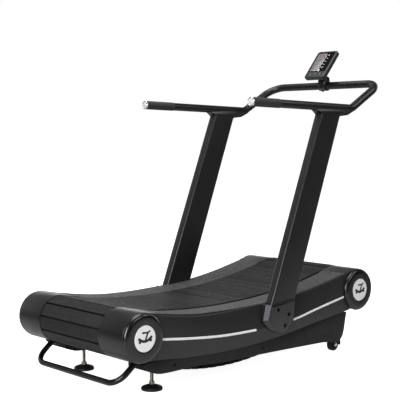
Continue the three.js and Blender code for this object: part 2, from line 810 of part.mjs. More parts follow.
// panel frame: left across the panel, up the panel, depth behind its face
const PANEL_FRAME = new THREE.Matrix4()
  .makeBasis(new THREE.Vector3(0, 1, 0), PANEL_UP, PANEL_BACK)
  .setPosition(...PANEL_ORIGIN);
// [x, z] of a place up the panel and behind its face
const onPanel = (up, depth) => [
  PANEL_ORIGIN[0] + PANEL_UP.x * up + PANEL_BACK.x * depth,
  PANEL_ORIGIN[2] + PANEL_UP.z * up + PANEL_BACK.z * depth,
];
const PIVOT_UP = 75;
const PIVOT = onPanel(PIVOT_UP, PANEL_T + 14);
const PIVOT_R = 4;
const SCREEN_WIDE = [-58, 60];
const SCREEN_HIGH = [46.5, 189.5];
const BUTTON_UP = 24;
const BUTTONS = [
  ['left_console_button', 35], ['middle_console_button', 0], ['right_console_button', -35],
];

// slab with rounded corners, spans in the panel frame
function panelSlab([p0, p1], [q0, q1], [front, back], radius, segments) {
  const shape = new THREE.Shape();
  const corners = [
    [p1 - radius, q1 - radius], [p0 + radius, q1 - radius],
    [p0 + radius, q0 + radius], [p1 - radius, q0 + radius],
  ];
  corners.forEach(([p, q], i) => {
    shape.absarc(p, q, radius, i * Math.PI / 2, (i + 1) * Math.PI / 2);
  });
  const geometry = new THREE.ExtrudeGeometry(
    shape,
    { depth: back - front, bevelEnabled: false, curveSegments: segments },
  );
  geometry.translate(0, 0, front);
  geometry.applyMatrix4(PANEL_FRAME);
  return solid(geometry);
}

function buttonPin(left, radius, [front, back]) {
  const geometry = new THREE.CylinderGeometry(radius, radius, back - front, 12);
  geometry.rotateX(Math.PI / 2);
  geometry.translate(left, BUTTON_UP, (front + back) / 2);
  geometry.applyMatrix4(PANEL_FRAME);
  return solid(geometry);
}

function consoleHousing() {
  const layer = (inset, depths, radius, segments) => panelSlab(
    across(PANEL_W / 2 - inset),
    [inset, PANEL_H - inset],
    depths,
    radius,
    segments,
  );
  const body = cut(
    join(
      layer(0, [3, PANEL_T - 4], 15, 3),
      layer(3, [0, 4], 13, 3),
      layer(6, [PANEL_T - 5, PANEL_T], 12, 2),
    ),
    panelSlab(widen(SCREEN_WIDE, 0.5), widen(SCREEN_HIGH, 0.5), [-1, 2.6], 6, 3),
    ...BUTTONS.map(([, left]) => buttonPin(left, 8.6, [-1, 5])),
  );
  // ear outline: up from the pivot, depth behind the panel's back
  const ear = [[-13, -2], [13, -2], [11, 14], [7, 23], [0, 26], [-7, 23], [-11, 14]]
    .map(([up, depth]) => onPanel(PIVOT_UP + up, PANEL_T + depth));
  return join(
    body,
    plate(ear, onSide(-1, 14, 20)),
    plate(ear, onSide(1, 14, 20)),
    rodY(PIVOT, PIVOT_R, across(19), 12),
  );
}

const consoleScreen = () => panelSlab(SCREEN_WIDE, SCREEN_HIGH, [0.5, 2.2], 5.6, 3);
const consoleButton = (left) => join(
  buttonPin(left, 8, [-1, 3.2]),
  buttonPin(left, 6.8, [-2, -0.9]),
);

// collar round the bar, block and neck up to the pivot, and a knob below
function consoleClamp() {
  const block = [[903, 1452], [957, 1452], [948, 1482], [938, 1490], [906, 1490]];
  const [pivotX, pivotZ] = PIVOT;
  const neck = [
    [905, 1480], [938, 1480], [931, 1506], [pivotX + 8, pivotZ + 5], [pivotX - 8, pivotZ + 5],
    [907, 1500],
  ];
  const neckY = across(13.5);
  const barBottom = BAR[1] - RAIL_R;
  return cut(
    join(
      rodY(BAR, RAIL_R + 7, across(26), 16),
      plate(block, across(24)),
      plate(neck, neckY),
      rodY(PIVOT, 10.5, neckY, 12),
      rodZ([BAR[0], 8], 6.5, [barBottom - 12, barBottom - 4], 12),
    ),
    rodY(BAR, RAIL_R + GAP + 0.5, across(40), 16),
    rodY(PIVOT, PIVOT_R + 0.5, across(20), 12),
  );
}

// ---------------------------------------------------------------- lift bar, feet, wheels
// U-shaped bar behind the rear of the frame
function liftBar() {
  const left = [[-690.5, 321, 155], [-716, 321, 155.5], [-817, 318, 73.5]];
  return tube(mirroredPath(left, [0, 30, 70], [0, 2, 5]), 13.5, 10);
}

function footStem() {
  const stem = [[0, 9], [7, 9], [8.5, 12], [8.5, 171], [0, 171]];
  const nut = [[0, 26.6], [14, 26.6], [14, 38.4], [0, 38.4]];
  return join(turnedZ(stem, FOOT, 12), turnedZ(nut, FOOT, 6));
}

function footPad() {
  const padR = 49.5;
  return turnedZ([
    [0, 0], [padR - 3, 0], [padR, 3], [padR, 11], [27, 20.5], [17, 26], [9.3, 26], [9.3, 8.4],
    [0, 8.4],
  ], FOOT, 20);
}

const WHEEL_R = 35;
const WHEEL_AXIS = [664, WHEEL_R];
const WHEEL_Y = [286.5, 313.5];
const CHEEK = [
  [556, 70], [614, 70], [650, 66], [706, 60], [706, 28], [701.5, 28], [699, 49], [676, 45],
  [676, 29], [664, 23], [651, 29], [641, 45], [600, 56], [556, 62],
];

function transportWheel() {
  const [near, far] = WHEEL_Y;
  const boreR = 5.6;
  return turnedY([
    [boreR, near], [32, near], [WHEEL_R, near + 3.5], [WHEEL_R, far - 3.5], [32, far],
    [boreR, far], [boreR, near],
  ], WHEEL_AXIS, 20);
}

// two cheeks, top and front plates, and the axle bolt with its ends
function wheelBracket() {
  return join(
    plate(CHEEK, [280, 284.8]),
    plate(CHEEK, [315.2, 320]),
    plate([[556, 74.6], [614, 71.8], [614, 66], [556, 68]], [272, 328]),
    box([701.5, 706], [280, 320], [28, 60]),
    rodY(WHEEL_AXIS, 5, [277, 323], 12),
    rodY(WHEEL_AXIS, 9, [319, 325], 6),
    rodY(WHEEL_AXIS, 9, [275, 281], 6),
  );
}

// ---------------------------------------------------------------- materials
const MATERIALS = {
  steelBlack: { color: 0x232325, roughness: 0.5, metalness: 0.35 },
  postBlack: { color: 0x1f1e20, roughness: 0.45, metalness: 0.3 },
  shoe: { color: 0x2c2c2e, roughness: 0.4, metalness: 0.4 },
  cover: { color: 0x2d2c2e, roughness: 0.45, metalness: 0 },
  cap: { color: 0x232225, roughness: 0.4, metalness: 0 },
  white: { color: 0xe8e8ea, roughness: 0.5, metalness: 0 },
  slat: { color: 0x39383a, roughness: 0.65, metalness: 0 },
  rubber: { color: 0x1b1b1c, roughness: 0.8, metalness: 0 },
  zinc: { color: 0xa8a39b, roughness: 0.35, metalness: 0.9 },
  axle: { color: 0x9a9a9c, roughness: 0.3, metalness: 1 },
  drum: { color: 0x8a8b8d, roughness: 0.4, metalness: 0.9 },
  bearing: { color: 0x4a4b4d, roughness: 0.5, metalness: 0.7 },
  chrome: { color: 0xd8d8da, roughness: 0.15, metalness: 1 },
  screen: { color: 0x807c7a, roughness: 0.25, metalness: 0 },
  button: { color: 0x4a4a4c, roughness: 0.5, metalness: 0 },
};

// ---------------------------------------------------------------- assembly
const treadmill = new THREE.Group();
treadmill.name = 'curved_treadmill';
treadmill.position.x = SHIFT_X;

function add(name, manifold, material, mirrored = false) {
  const { vertProperties, triVerts } = manifold.getMesh();
  const positions = Array.from(vertProperties);
  const triangles = Array.from(triVerts);
  if (mirrored) {
    for (let i = 1; i < positions.length; i += 3) positions[i] *= -1;
    turnOver(triangles);
  }
  const geometry = indexedGeometry(positions, triangles);
  geometry.computeVertexNormals();
  const mesh = new THREE.Mesh(
    geometry,
    new THREE.MeshStandardMaterial(MATERIALS[material]),
  );
  mesh.name = name;
  treadmill.add(mesh);
}

// a left piece and its mirror image; * in the name stands for the side
function addPair(name, manifold, material) {
  add(name.replace('*', 'left'), manifold, material);
  add(name.replace('*', 'right'), manifold, material, true);
}

addPair('*_side_frame', sideFrame(), 'steelBlack');
for (const member of CROSSMEMBERS) add(member.name, crossmember(member), 'steelBlack');
addPair('*_bearing_rail', bearingRail(), 'bearing');
add('slat_belt', slatBelt(), 'slat');
for (const end of [FRONT, REAR]) {
  add(`${end.name}_drum`, drum(end), 'drum');
  add(`${end.name}_axle`, axle(end), 'axle');
  addPair(`${end.name}_*_bearing`, bearing(end), 'bearing');
}

addPair('*_side_cover', sideCover(), 'cover');
addPair('rear_*_accent_stripe', accentStripe(-628, -32), 'white');
addPair('front_*_accent_stripe', accentStripe(232, 628), 'white');
for (const end of [REAR, FRONT]) {
  addPair(`${end.name}_*_drum_cover`, drumCover(end), 'cover');
  addPair(`${end.name}_*_end_cap`, endCap(end), 'cap');
  addPair(`${end.name}_*_badge`, badge(end), 'white');
}

add('handlebar', handlebar(), 'postBlack');
addPair('*_grip', grip(), 'rubber');
addPair('*_grip_end_cap', gripEndCap(), 'chrome');
addPair('*_upright', upright(), 'postBlack');
addPair('*_upright_bracket', uprightShoe(), 'shoe');
addPair('*_upright_bolts', uprightBolts(), 'zinc');

add('console_housing', consoleHousing(), 'cover');
add('console_screen', consoleScreen(), 'screen');
for (const [name, left] of BUTTONS) add(name, consoleButton(left), 'button');
add('console_clamp', consoleClamp(), 'shoe');

add('lift_bar', liftBar(), 'steelBlack');
addPair('*_foot_stem', footStem(), 'zinc');
addPair('*_foot_pad', footPad(), 'rubber');
addPair('*_transport_wheel', transportWheel(), 'rubber');
addPair('*_wheel_bracket', wheelBracket(), 'zinc');

export default treadmill;
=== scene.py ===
# A curved slat-belt treadmill. x runs forward, y to the runner's left, z up from the floor.
# The drum axes come from the frame. Every other length is in millimetres, with x measured
# from the point midway between the drums; build() turns shapes into metres. Paired pieces
# are modelled on the left (+y) and mirrored to the right.
import math
import bmesh
import bpy
import numpy as np
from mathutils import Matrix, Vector


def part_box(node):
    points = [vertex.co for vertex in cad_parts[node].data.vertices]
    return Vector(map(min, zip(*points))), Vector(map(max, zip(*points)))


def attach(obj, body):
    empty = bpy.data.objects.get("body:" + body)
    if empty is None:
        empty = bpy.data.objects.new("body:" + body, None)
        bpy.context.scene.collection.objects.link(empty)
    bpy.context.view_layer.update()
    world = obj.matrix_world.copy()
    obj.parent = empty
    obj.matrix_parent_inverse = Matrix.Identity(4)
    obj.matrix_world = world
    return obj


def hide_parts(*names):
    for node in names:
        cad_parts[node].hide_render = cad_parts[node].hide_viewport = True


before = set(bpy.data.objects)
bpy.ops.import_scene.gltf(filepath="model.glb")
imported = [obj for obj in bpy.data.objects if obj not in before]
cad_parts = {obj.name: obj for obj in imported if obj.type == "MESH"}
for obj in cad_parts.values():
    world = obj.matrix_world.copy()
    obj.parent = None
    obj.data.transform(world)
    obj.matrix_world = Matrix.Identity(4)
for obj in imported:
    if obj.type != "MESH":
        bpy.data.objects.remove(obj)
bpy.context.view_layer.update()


def node_centre(node):
    low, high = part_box(node)
    return (low + high) / 2


rear_centre, front_centre = node_centre("rear_drum"), node_centre("front_drum")
MID_X = (rear_centre.x + front_centre.x) / 2 * 1000.0
# drum axes as (x, z)
REAR_DRUM = np.array([rear_centre.x * 1000 - MID_X, rear_centre.z * 1000])
FRONT_DRUM = np.array([front_centre.x * 1000 - MID_X, front_centre.z * 1000])

# height of the slat tops: factors of rising powers of x / TREAD_SCALE
TREAD_POWERS = (340.379, 25.511, 67.2482, 13.6284, 6.04638, -12.2151)
TREAD_SCALE = 700
TREAD_REAR_X, TREAD_FRONT_X = -715.2554, 714.788
REAR_ANGLE, FRONT_ANGLE = 13.0, 13.25       # tread slope at its ends, degrees
SLAT_HEIGHT, SLAT_WIDTH, SLAT_COUNT = 14.0, 57.4, 62
BELT_HALF = 224.0
PITCH_RADIUS, DRUM_RADIUS = 96.0, 90.0
# lower run of the belt: a parabola between two x stations
SAG_Z, SAG_FACTOR, SAG_X = 37.0, 3.0357243e-4, -56.9317
SAG_REAR_X, SAG_FRONT_X = -778.5237, 783.6389
SPLIT_X = 655.0                             # side covers meet the drum covers at +-x
SIDES = ("left", "right")
ACROSS, UP = (0, 1, 0), (0, 0, 1)

# upright edges as ((x, z) low, (x, z) high), and its faces in y
POST_REAR = ((67, 344), (430, 1279))
POST_FRONT = ((234, 348), (573, 1259))
POST_IN, POST_OUT = 366.0, 415.0
# bracket at the foot of the upright: outline (x, z), smaller outer face, corner radii
SHOE = [(4, 255), (52, 212), (121, 184), (168, 202), (213, 248), (226, 348), (65, 331), (24, 339)]
SHOE_FACE = [(26, 257), (62, 218), (121, 188), (165, 206), (209, 249), (221, 344), (70, 329),
             (50, 334)]
SHOE_RADII = [16, 60, 40, 40, 30, 3, 60, 4]
SHOE_BOLTS = [(98, 306), (175, 275), (148, 222)]


# ---------------------------------------------------------------- curves along the machine
def smooth(low, high, x):
    part = min(1.0, max(0.0, (x - low) / (high - low)))
    return part * part * (3 - 2 * part)


def through(knots):
    """Function z(x) running smoothly through (x, z) knots."""
    last = len(knots) - 1
    slopes = []
    for i in range(last + 1):
        (x0, z0), (x1, z1) = knots[max(0, i - 1)], knots[min(last, i + 1)]
        slopes.append((z1 - z0) / (x1 - x0))

    def height(x):
        i = 0
        while i < last - 1 and x > knots[i + 1][0]:
            i += 1
        (x0, z0), (x1, z1) = knots[i], knots[i + 1]
        span = x1 - x0
        part = (x - x0) / span
        square, cube = part ** 2, part ** 3
        return ((2 * cube - 3 * square + 1) * z0 + (cube - 2 * square + part) * span * slopes[i]
                + (3 * square - 2 * cube) * z1 + (cube - square) * span * slopes[i + 1])
    return height


def tread_z(x):
    return sum(k * (x / TREAD_SCALE) ** i for i, k in enumerate(TREAD_POWERS))


def tread_slope(x):
    return sum(k * i * (x / TREAD_SCALE) ** (i - 1) / TREAD_SCALE
               for i, k in enumerate(TREAD_POWERS) if i)


def below_tread(x, depth):
    """(x, z) of the point a depth below the tread at x, square to it."""
    slope = tread_slope(x)
    drop = depth / math.hypot(1, slope)
    return x + drop * slope, tread_z(x) - drop


# outer edge of the standing surface
standing_z = through([
    (-655, tread_z(-655) + 2), (-520, 357.8), (-387, 343), (-260, 338.5), (-130, 338.5),
    (0, 341.5), (130, 348.5), (234, 357.5), (300, 364.8), (400, 379.8), (500, 398.2), (600, 419),
    (655, tread_z(655))])
bottom_z = through([
    (-740, 171), (-644, 171), (-463, 155), (-270, 147), (-66, 150), (150, 165), (381, 195),
    (560, 218.5), (664, 231), (700, 235)])
crease_z = through([
    (-700, 268), (-635, 262), (-462, 242), (-270, 226), (-100, 222), (60, 224), (234, 238),
    (439, 275), (656, 312), (700, 319)])


def top_z(x):
    if x < -SPLIT_X:
        return tread_z(x) + 2
    return tread_z(x) if x > SPLIT_X else standing_z(x)


def inner_z(x):
    """Inner edge of the standing surface, just below the slats except near its ends."""
    blend = smooth(-650, -500, x) * (1 - smooth(600, 652, x))
    return top_z(x) + (tread_z(x) - 4.5 - top_z(x)) * blend


def edge_y(x):
    return 386 + 12 * (x / SPLIT_X) ** 2


def pad_edge(x):
    return edge_y(x) - 15.5 + 4.5 * smooth(-330, -40, x)


def pad_z(x, y):
    inner = inner_z(x)
    return inner + (top_z(x) - inner) * max(0.0, (y - 228) / (pad_edge(x) - 228))


def line_x(line, z):
    (x0, z0), (x1, z1) = line
    return x0 + (x1 - x0) * (z - z0) / (z1 - z0)


# ---------------------------------------------------------------- flat outlines
def unit(vector):
    return vector / np.linalg.norm(vector)


def arc(centre, radius, start, end, steps):
    angles = [start + (end - start) * i / steps for i in range(steps + 1)]
    return [(centre[0] + radius * math.cos(a), centre[1] + radius * math.sin(a)) for a in angles]


def circle(x, z, radius, count, phase=0.0):
    return arc((x, z), radius, phase, phase + 2 * math.pi, count)[:-1]


def turned(along, aside, angle):
    cos, sin = math.cos(angle), math.sin(angle)
    return along * cos - aside * sin, along * sin + aside * cos


def mirror_first(points, middle=0.0):
    """Pairs followed by their mirror image in the first value."""
    return points + [(2 * middle - a, b) for a, b in reversed(points)]


def mirror_second(points):
    return points + [(a, -b) for a, b in reversed(points)]


def inset(outline, depth):
    """Moves a closed outline inward."""
    if abs(depth) < 1e-9:
        return [tuple(point) for point in outline]
    points = np.array(outline, float)
    before, after = np.roll(points, 1, 0), np.roll(points, -1, 0)
    turn = (before[:, 0] * points[:, 1] - points[:, 0] * before[:, 1]).sum()
    sign = 1.0 if turn > 0 else -1.0

    def normals(edges):
        edges = edges / np.linalg.norm(edges, axis=1)[:, None]
        return sign * np.stack([-edges[:, 1], edges[:, 0]], 1)
    normal = normals(points - before)
    mitre = normal + normals(after - points)
    mitre /= np.linalg.norm(mitre, axis=1)[:, None]
    reach = depth / np.maximum(0.45, (mitre * normal).sum(1))
    return [tuple(point) for point in points + mitre * reach[:, None]]


def round_poly(points, radii, steps):
    """Rounds corners; radii is one number or one per corner."""
    corners = np.array(points, float)
    rounded = []
    for corner, before, after, radius in zip(corners, np.roll(corners, 1, 0),
                                             np.roll(corners, -1, 0),
                                             np.broadcast_to(radii, len(corners))):
        limit = 0.47 * min(np.linalg.norm(before - corner), np.linalg.norm(after - corner))
        back, ahead = unit(before - corner), unit(after - corner)
        angle = math.acos(max(-1, min(1, float(back @ ahead))))
        if radius <= 0 or angle > math.radians(177):
            rounded.append(tuple(corner))
            continue
        reach = min(radius / math.tan(angle / 2), limit)
        radius = reach * math.tan(angle / 2)
        centre = corner + unit(back + ahead) * (radius / math.sin(angle / 2))
        start, end = corner + back * reach - centre, corner + ahead * reach - centre
        first = math.atan2(start[1], start[0])
        turn = (math.atan2(end[1], end[0]) - first + math.pi) % (2 * math.pi) - math.pi
        rounded += arc(centre, radius, first, first + turn, steps)
    return rounded


def rect(x0, x1, z0, z1, radius=0, steps=1):
    return round_poly([(x0, z0), (x1, z0), (x1, z1), (x0, z1)], radius, steps)


# ---------------------------------------------------------------- solid shapes
class Shape:
    """Vertices in mm, faces, and a material index per face."""

    def __init__(self, verts=(), faces=(), mats=()):
        self.verts, self.faces, self.mats = list(verts), list(faces), list(mats)

    def join(self, *others):
        for other in others:
            start = len(self.verts)
            self.verts.extend(other.verts)
            self.faces.extend(tuple(i + start for i in face) for face in other.faces)
            self.mats.extend(other.mats)
        return self

    def on_side(self, side):
        if side == "left":
            return self
        return Shape([(x, -y, z) for x, y, z in self.verts],
                     [tuple(reversed(face)) for face in self.faces], self.mats)


def rings(stack, loop=False, mat=0, cap_mat=None):
    """Quads between successive rings; closed on itself as a loop, otherwise capped."""
    size, count = len(stack[0]), len(stack)
    faces = []
    for i in range(count if loop else count - 1):
        low, high = i * size, (i + 1) % count * size
        for j in range(size):
            k = (j + 1) % size
            faces.append((low + j, low + k, high + k, high + j))
    mats = [mat] * len(faces)
    if not loop:
        faces += [tuple(reversed(range(size))), tuple(range((count - 1) * size, count * size))]
        mats += [mat if cap_mat is None else cap_mat] * 2
    return Shape([point for ring in stack for point in ring], faces, mats)


def along_x(section, stations):
    return rings([[(x, y, z) for y, z in section(x)] for x in stations])


def across_y(outlines, **options):
    """Rings from (y, outline) pairs."""
    return rings([[(x, y, z) for x, z in outline] for y, outline in outlines], **options)


def prism(outline, levels, mat=0):
    """An (x, z) outline carried through (y, inset) levels."""
    return across_y([(y, inset(outline, depth)) for y, depth in levels], mat=mat)


def plate(outline, y0, y1, bevel=0.8, mat=0):
    bevel = min(bevel, abs(y1 - y0) * 0.4)
    levels = [(y0, bevel), (y0 + 0.3 * bevel, 0.3 * bevel), (y0 + bevel, 0)]
    return prism(outline, mirror_first(levels, (y0 + y1) / 2), mat)


def box(x0, x1, y0, y1, z0, z1, bevel=0.8, mat=0):
    return plate(rect(x0, x1, z0, z1), y0, y1, bevel, mat)


def perpendicular(axis):
    return unit(np.cross(axis, UP if abs(axis[2]) < 0.9 else (1, 0, 0)))


def lathe(profile, origin, axis, segments, mat=0, closed=False):
    """(radius, height) profile turned about an axis; radius 0 gives a single point."""
    axis = unit(np.array(axis, float))
    side = perpendicular(axis)
    other = np.cross(axis, side)
    turns = circle(0, 0, 1, segments)
    verts, rows, faces = [], [], []
    for radius, height in profile:
        centre = np.array(origin) + axis * height
        ring = turns if radius >= 1e-6 else [(0, 0)]
        rows.append(range(len(verts), len(verts) + len(ring)))
        verts.extend(centre + (side * a + other * b) * radius for a, b in ring)
    for low, high in zip(rows, rows[1:] + rows[:1] if closed else rows[1:]):
        for i in range(segments):
            j = (i + 1) % segments
            if len(low) == 1:
                faces.append((low[0], high[j], high[i]))
            elif len(high) == 1:
                faces.append((low[i], low[j], high[0]))
            else:
                faces.append((low[i], low[j], high[j], high[i]))
    return Shape(verts, faces, [mat] * len(faces))


def spin(profile, x, z, segments, mat=0, closed=False):
    """(radius, y) profile turned about the line across the machine at (x, z)."""
    return lathe(profile, (x, 0, z), ACROSS, segments, mat, closed)


def disc(x, z, radius, y0, y1, segments):
    return spin([(0, y0), (radius, y0), (radius, y1), (0, y1)], x, z, segments)


def rounded_path(corners, radii, step=5.0, straight=40.0):
    """Points and tangents along corners joined by circular bends."""
    corners = [np.array(corner, float) for corner in corners]
    points, tangents = [corners[0]], [unit(corners[1] - corners[0])]

    def run(end, tangent):
        start = points[-1]
        count = max(1, int(np.linalg.norm(end - start) // straight))
        for i in range(1, count + 1):
            points.append(start + (end - start) * i / count)
            tangents.append(tangent)
    for before, corner, after, radius in zip(corners, corners[1:], corners[2:], radii[1:]):
        ahead, leaving = unit(corner - before), unit(after - corner)
        turn = math.acos(max(-1, min(1, float(ahead @ leaving))))
        start = corner - ahead * radius * math.tan(turn / 2)
        run(start, ahead)
        side = unit(leaving - ahead * float(leaving @ ahead))
        centre = start + side * radius
        count = max(4, int(radius * turn / step))
        for j in range(1, count + 1):
            cos, sin = math.cos(turn * j / count), math.sin(turn * j / count)
            points.append(centre - side * radius * cos + ahead * radius * sin)
            tangents.append(ahead * cos + side * sin)
    run(corners[-1], unit(corners[-1] - corners[-2]))
    return points, tangents


def both_sides(half):
    """A path on the left, continued back along its mirror image on the right."""
    return half + [(x, -y, z) for x, y, z in reversed(half)]


def tube(path, radius_at, segments, end_round=0.0):
    """Round tube; radius_at gives its radius at a distance along the path."""
    points, tangents = path
    side = perpendicular(tangents[0])
    distance, stack = 0.0, []
    for i, (point, tangent) in enumerate(zip(points, tangents)):
        if i:
            distance += float(np.linalg.norm(point - points[i - 1]))
        side = unit(side - tangent * float(side @ tangent))
        other = np.cross(tangent, side)
        stack.append([point + side * a + other * b
                      for a, b in circle(0, 0, radius_at(distance), segments)])
    if end_round:
        ends = []
        for end, sign in ((0, -1), (-1, 1)):
            spokes = np.array(stack[end]) - points[end]
            ends.append([])
            for angle in map(math.radians, (30, 60, 90)):
                centre = points[end] + tangents[end] * sign * end_round * math.sin(angle)
                shrink = 1 - end_round / radius_at(0) * (1 - math.cos(angle))
                ends[-1].append([centre + spoke * shrink for spoke in spokes])
        stack = ends[0][::-1] + stack + ends[1]
    return rings(stack)


# ---------------------------------------------------------------- objects
def shade(ob, angle):
    ob.data.polygons.foreach_set("use_smooth", [True] * len(ob.data.polygons))
    ob.data.set_sharp_from_angle(angle=math.radians(angle))
    ob.data.update()


def build(name, shape, mats, angle=32, clean=True):
    """Object from a shape; mats holds keys of MATERIALS, parted by blanks."""
    mesh = bpy.data.meshes.new(name)
    verts = [((x + MID_X) / 1000, y / 1000, z / 1000) for x, y, z in shape.verts]
    mesh.from_pydata(verts, [], shape.faces)
    for key in mats.split():
        mesh.materials.append(MATERIALS[key])
    mesh.polygons.foreach_set("material_index", shape.mats)
    ob = bpy.data.objects.new(name, mesh)
    bpy.context.scene.collection.objects.link(ob)
    if clean:
        bm = bmesh.new()
        bm.from_mesh(mesh)
        bmesh.ops.remove_doubles(bm, verts=bm.verts, dist=1e-6)
        bmesh.ops.recalc_face_normals(bm, faces=bm.faces)
        bm.to_mesh(mesh)
        bm.free()
    shade(ob, angle)
    return ob


def carve(ob, shapes, mat, angle):
    """Cuts closed shapes out of an object."""
    cutters = []
    for i, shape in enumerate(shapes):
        cutters.append(build(f"{ob.name}_cutter{i}", shape, mat))
        cut = ob.modifiers.new(f"cut{i}", "BOOLEAN")
        cut.object, cut.operation, cut.solver = cutters[-1], "DIFFERENCE", "EXACT"
    depsgraph = bpy.context.evaluated_depsgraph_get()
    depsgraph.update()
    mesh = bpy.data.meshes.new_from_object(ob.evaluated_get(depsgraph))
    ob.modifiers.clear()
    old = ob.data
    ob.data = mesh
    mesh.name = old.name + "_cut"
    bpy.data.meshes.remove(old)
    for cutter in cutters:
        mesh = cutter.data
        bpy.data.objects.remove(cutter)
        bpy.data.meshes.remove(mesh)
    shade(ob, angle)


def piece(name, shape, mats, slot, node=None, body="root", angle=32, cuts=(), clean=True):
    """Builds one object, cuts it, hangs it under its body empty and hides the CAD part it stands
    for.
    """
    ob = build(name, shape, mats, angle, clean)
    if cuts:
        carve(ob, cuts, mats.split()[0], angle)
    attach(ob, body)
    if node:
        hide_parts(node)
    return ob


def pair(name, shape, mats, slot, node="", body="root", cuts=(), **options):
    """A left piece and its mirror image; * stands for the side in name, node and body."""
    return [piece(name.replace("*", side), shape.on_side(side), mats, slot,
                  node.replace("*", side), body.replace("*", side),
                  cuts=[cut.on_side(side) for cut in cuts], **options) for side in SIDES]


# ---------------------------------------------------------------- materials
def linear(hexa):
    channels = [int(hexa[i:i + 2], 16) / 255 for i in (0, 2, 4)]
    return tuple(k / 12.92 if k <= 0.04045 else ((k + 0.055) / 1.055) ** 2.4
                 for k in channels) + (1.0,)


class Graph:
    """Node tree of a material or world; most methods return an output socket."""

    def __init__(self, owner):
        owner.use_nodes = True
        self.tree = owner.node_tree
        self.tree.nodes.clear()

    def feed(self, socket, value):
        if isinstance(value, bpy.types.NodeSocket):
            self.tree.links.new(value, socket)
        else:
            socket.default_value = value

    def node(self, kind, inputs=None, **properties):
        node = self.tree.nodes.new("ShaderNode" + kind)
        for key, value in properties.items():
            setattr(node, key, value)
        for key, value in (inputs or {}).items():
            self.feed(node.inputs[key], value)
        return node

    def remap(self, source, start=0.3, end=0.7, low=0, high=1, interpolation="LINEAR"):
        """Source from start..end to low..high."""
        return self.node("MapRange", {"Value": source, "From Min": start, "From Max": end,
                                      "To Min": low, "To Max": high},
                         interpolation_type=interpolation).outputs["Result"]

    def math(self, operation, first, second):
        return self.node("Math", {0: first, 1: second}, operation=operation).outputs[0]

    def times(self, first, second):
        return self.math("MULTIPLY", first, second)

    def dot(self, first, second):
        return self.node("VectorMath", {0: first, 1: second},
                         operation="DOT_PRODUCT").outputs["Value"]

    def camera_ray(self):
        return self.node("LightPath").outputs["Is Camera Ray"]


class Surface(Graph):
    """A material around one principled shader, with a base colour."""

    def __init__(self, name, base="ffffff"):
        self.material = bpy.data.materials.new(name)
        super().__init__(self.material)
        self.shader = self.node("BsdfPrincipled")
        self.node("OutputMaterial", {"Surface": self.shader.outputs["BSDF"]})
        self.place = self.node("TexCoord").outputs["Object"]
        self.base = linear(base)
        self.last_bump = None

    def tone(self, gain):
        return tuple(min(1.0, k * gain) for k in self.base[:3]) + (1.0,)

    def mapped(self, stretch=(1, 1, 1)):
        return self.node("Mapping", {"Vector": self.place, "Scale": stretch}).outputs[0]

    def noise(self, scale, detail=3, roughness=0.6, stretch=(1, 1, 1)):
        return self.node("TexNoise", {"Vector": self.mapped(stretch), "Scale": scale,
                                      "Detail": detail, "Roughness": roughness}).outputs[0]

    def voronoi(self, scale):
        return self.node("TexVoronoi",
                         {"Vector": self.mapped(), "Scale": scale}).outputs["Distance"]

    def mix(self, factor, first, second, mode="MIX"):
        return self.node("Mix", {0: factor, 6: first, 7: second},
                         data_type="RGBA", blend_type=mode).outputs[2]

    def mottle(self, pattern, dark, light):
        """Base colour varied between two gains."""
        return self.mix(self.remap(pattern), self.tone(dark), self.tone(light))

    def overlay(self, colour, mask, amount, top):
        return self.mix(self.times(mask, amount), colour, top)

    def edge(self, radius, start, end):
        """1 along edges, 0 on flat ground."""
        bevel = self.node("Bevel", {"Radius": radius}, samples=4).outputs["Normal"]
        flat = self.node("NewGeometry").outputs["Normal"]
        return self.remap(self.math("SUBTRACT", 1.0, self.dot(bevel, flat)), start, end)

    def bump(self, height, strength, distance):
        inputs = {"Strength": strength, "Distance": distance, "Height": height}
        if self.last_bump:
            inputs["Normal"] = self.last_bump
        self.last_bump = self.node("Bump", inputs).outputs["Normal"]
        self.feed(self.shader.inputs["Normal"], self.last_bump)

    def finish(self, colour, roughness, specular=0.5, **more):
        inputs = {"Base Color": colour, "Roughness": roughness, "Specular IOR Level": specular}
        inputs.update((key.replace("_", " "), value) for key, value in more.items())
        for key, value in inputs.items():
            self.feed(self.shader.inputs[key], value)
        return self.material


def plastic(name, base, roughness, grain=900, specular=0.5, edge_gain=1.6):
    """Moulded plastic: fine grain, faint flow variation, scuffed edges."""
    m = Surface(name, base)
    colour = m.mottle(m.noise(scale=7, detail=5), dark=0.88, light=1.12)
    fine = m.remap(m.noise(scale=grain * 0.35), end=0.75)
    colour = m.overlay(colour, fine, amount=0.25, top=m.tone(1.5))
    wear = m.times(m.edge(radius=0.0012, start=0.02, end=0.22),
                   m.remap(m.noise(scale=60, detail=4, roughness=0.7), start=0.35))
    colour = m.overlay(colour, wear, amount=0.5, top=m.tone(edge_gain))
    m.bump(m.noise(scale=grain, detail=2, roughness=0.5), strength=0.35, distance=0.00006)
    m.bump(m.noise(scale=12, detail=2, roughness=0.5), strength=0.12, distance=0.0012)
    rough = m.remap(m.noise(scale=18, detail=6, roughness=0.65),
                    low=roughness - 0.06, high=roughness + 0.06)
    return m.finish(colour, rough, specular, IOR=1.48)


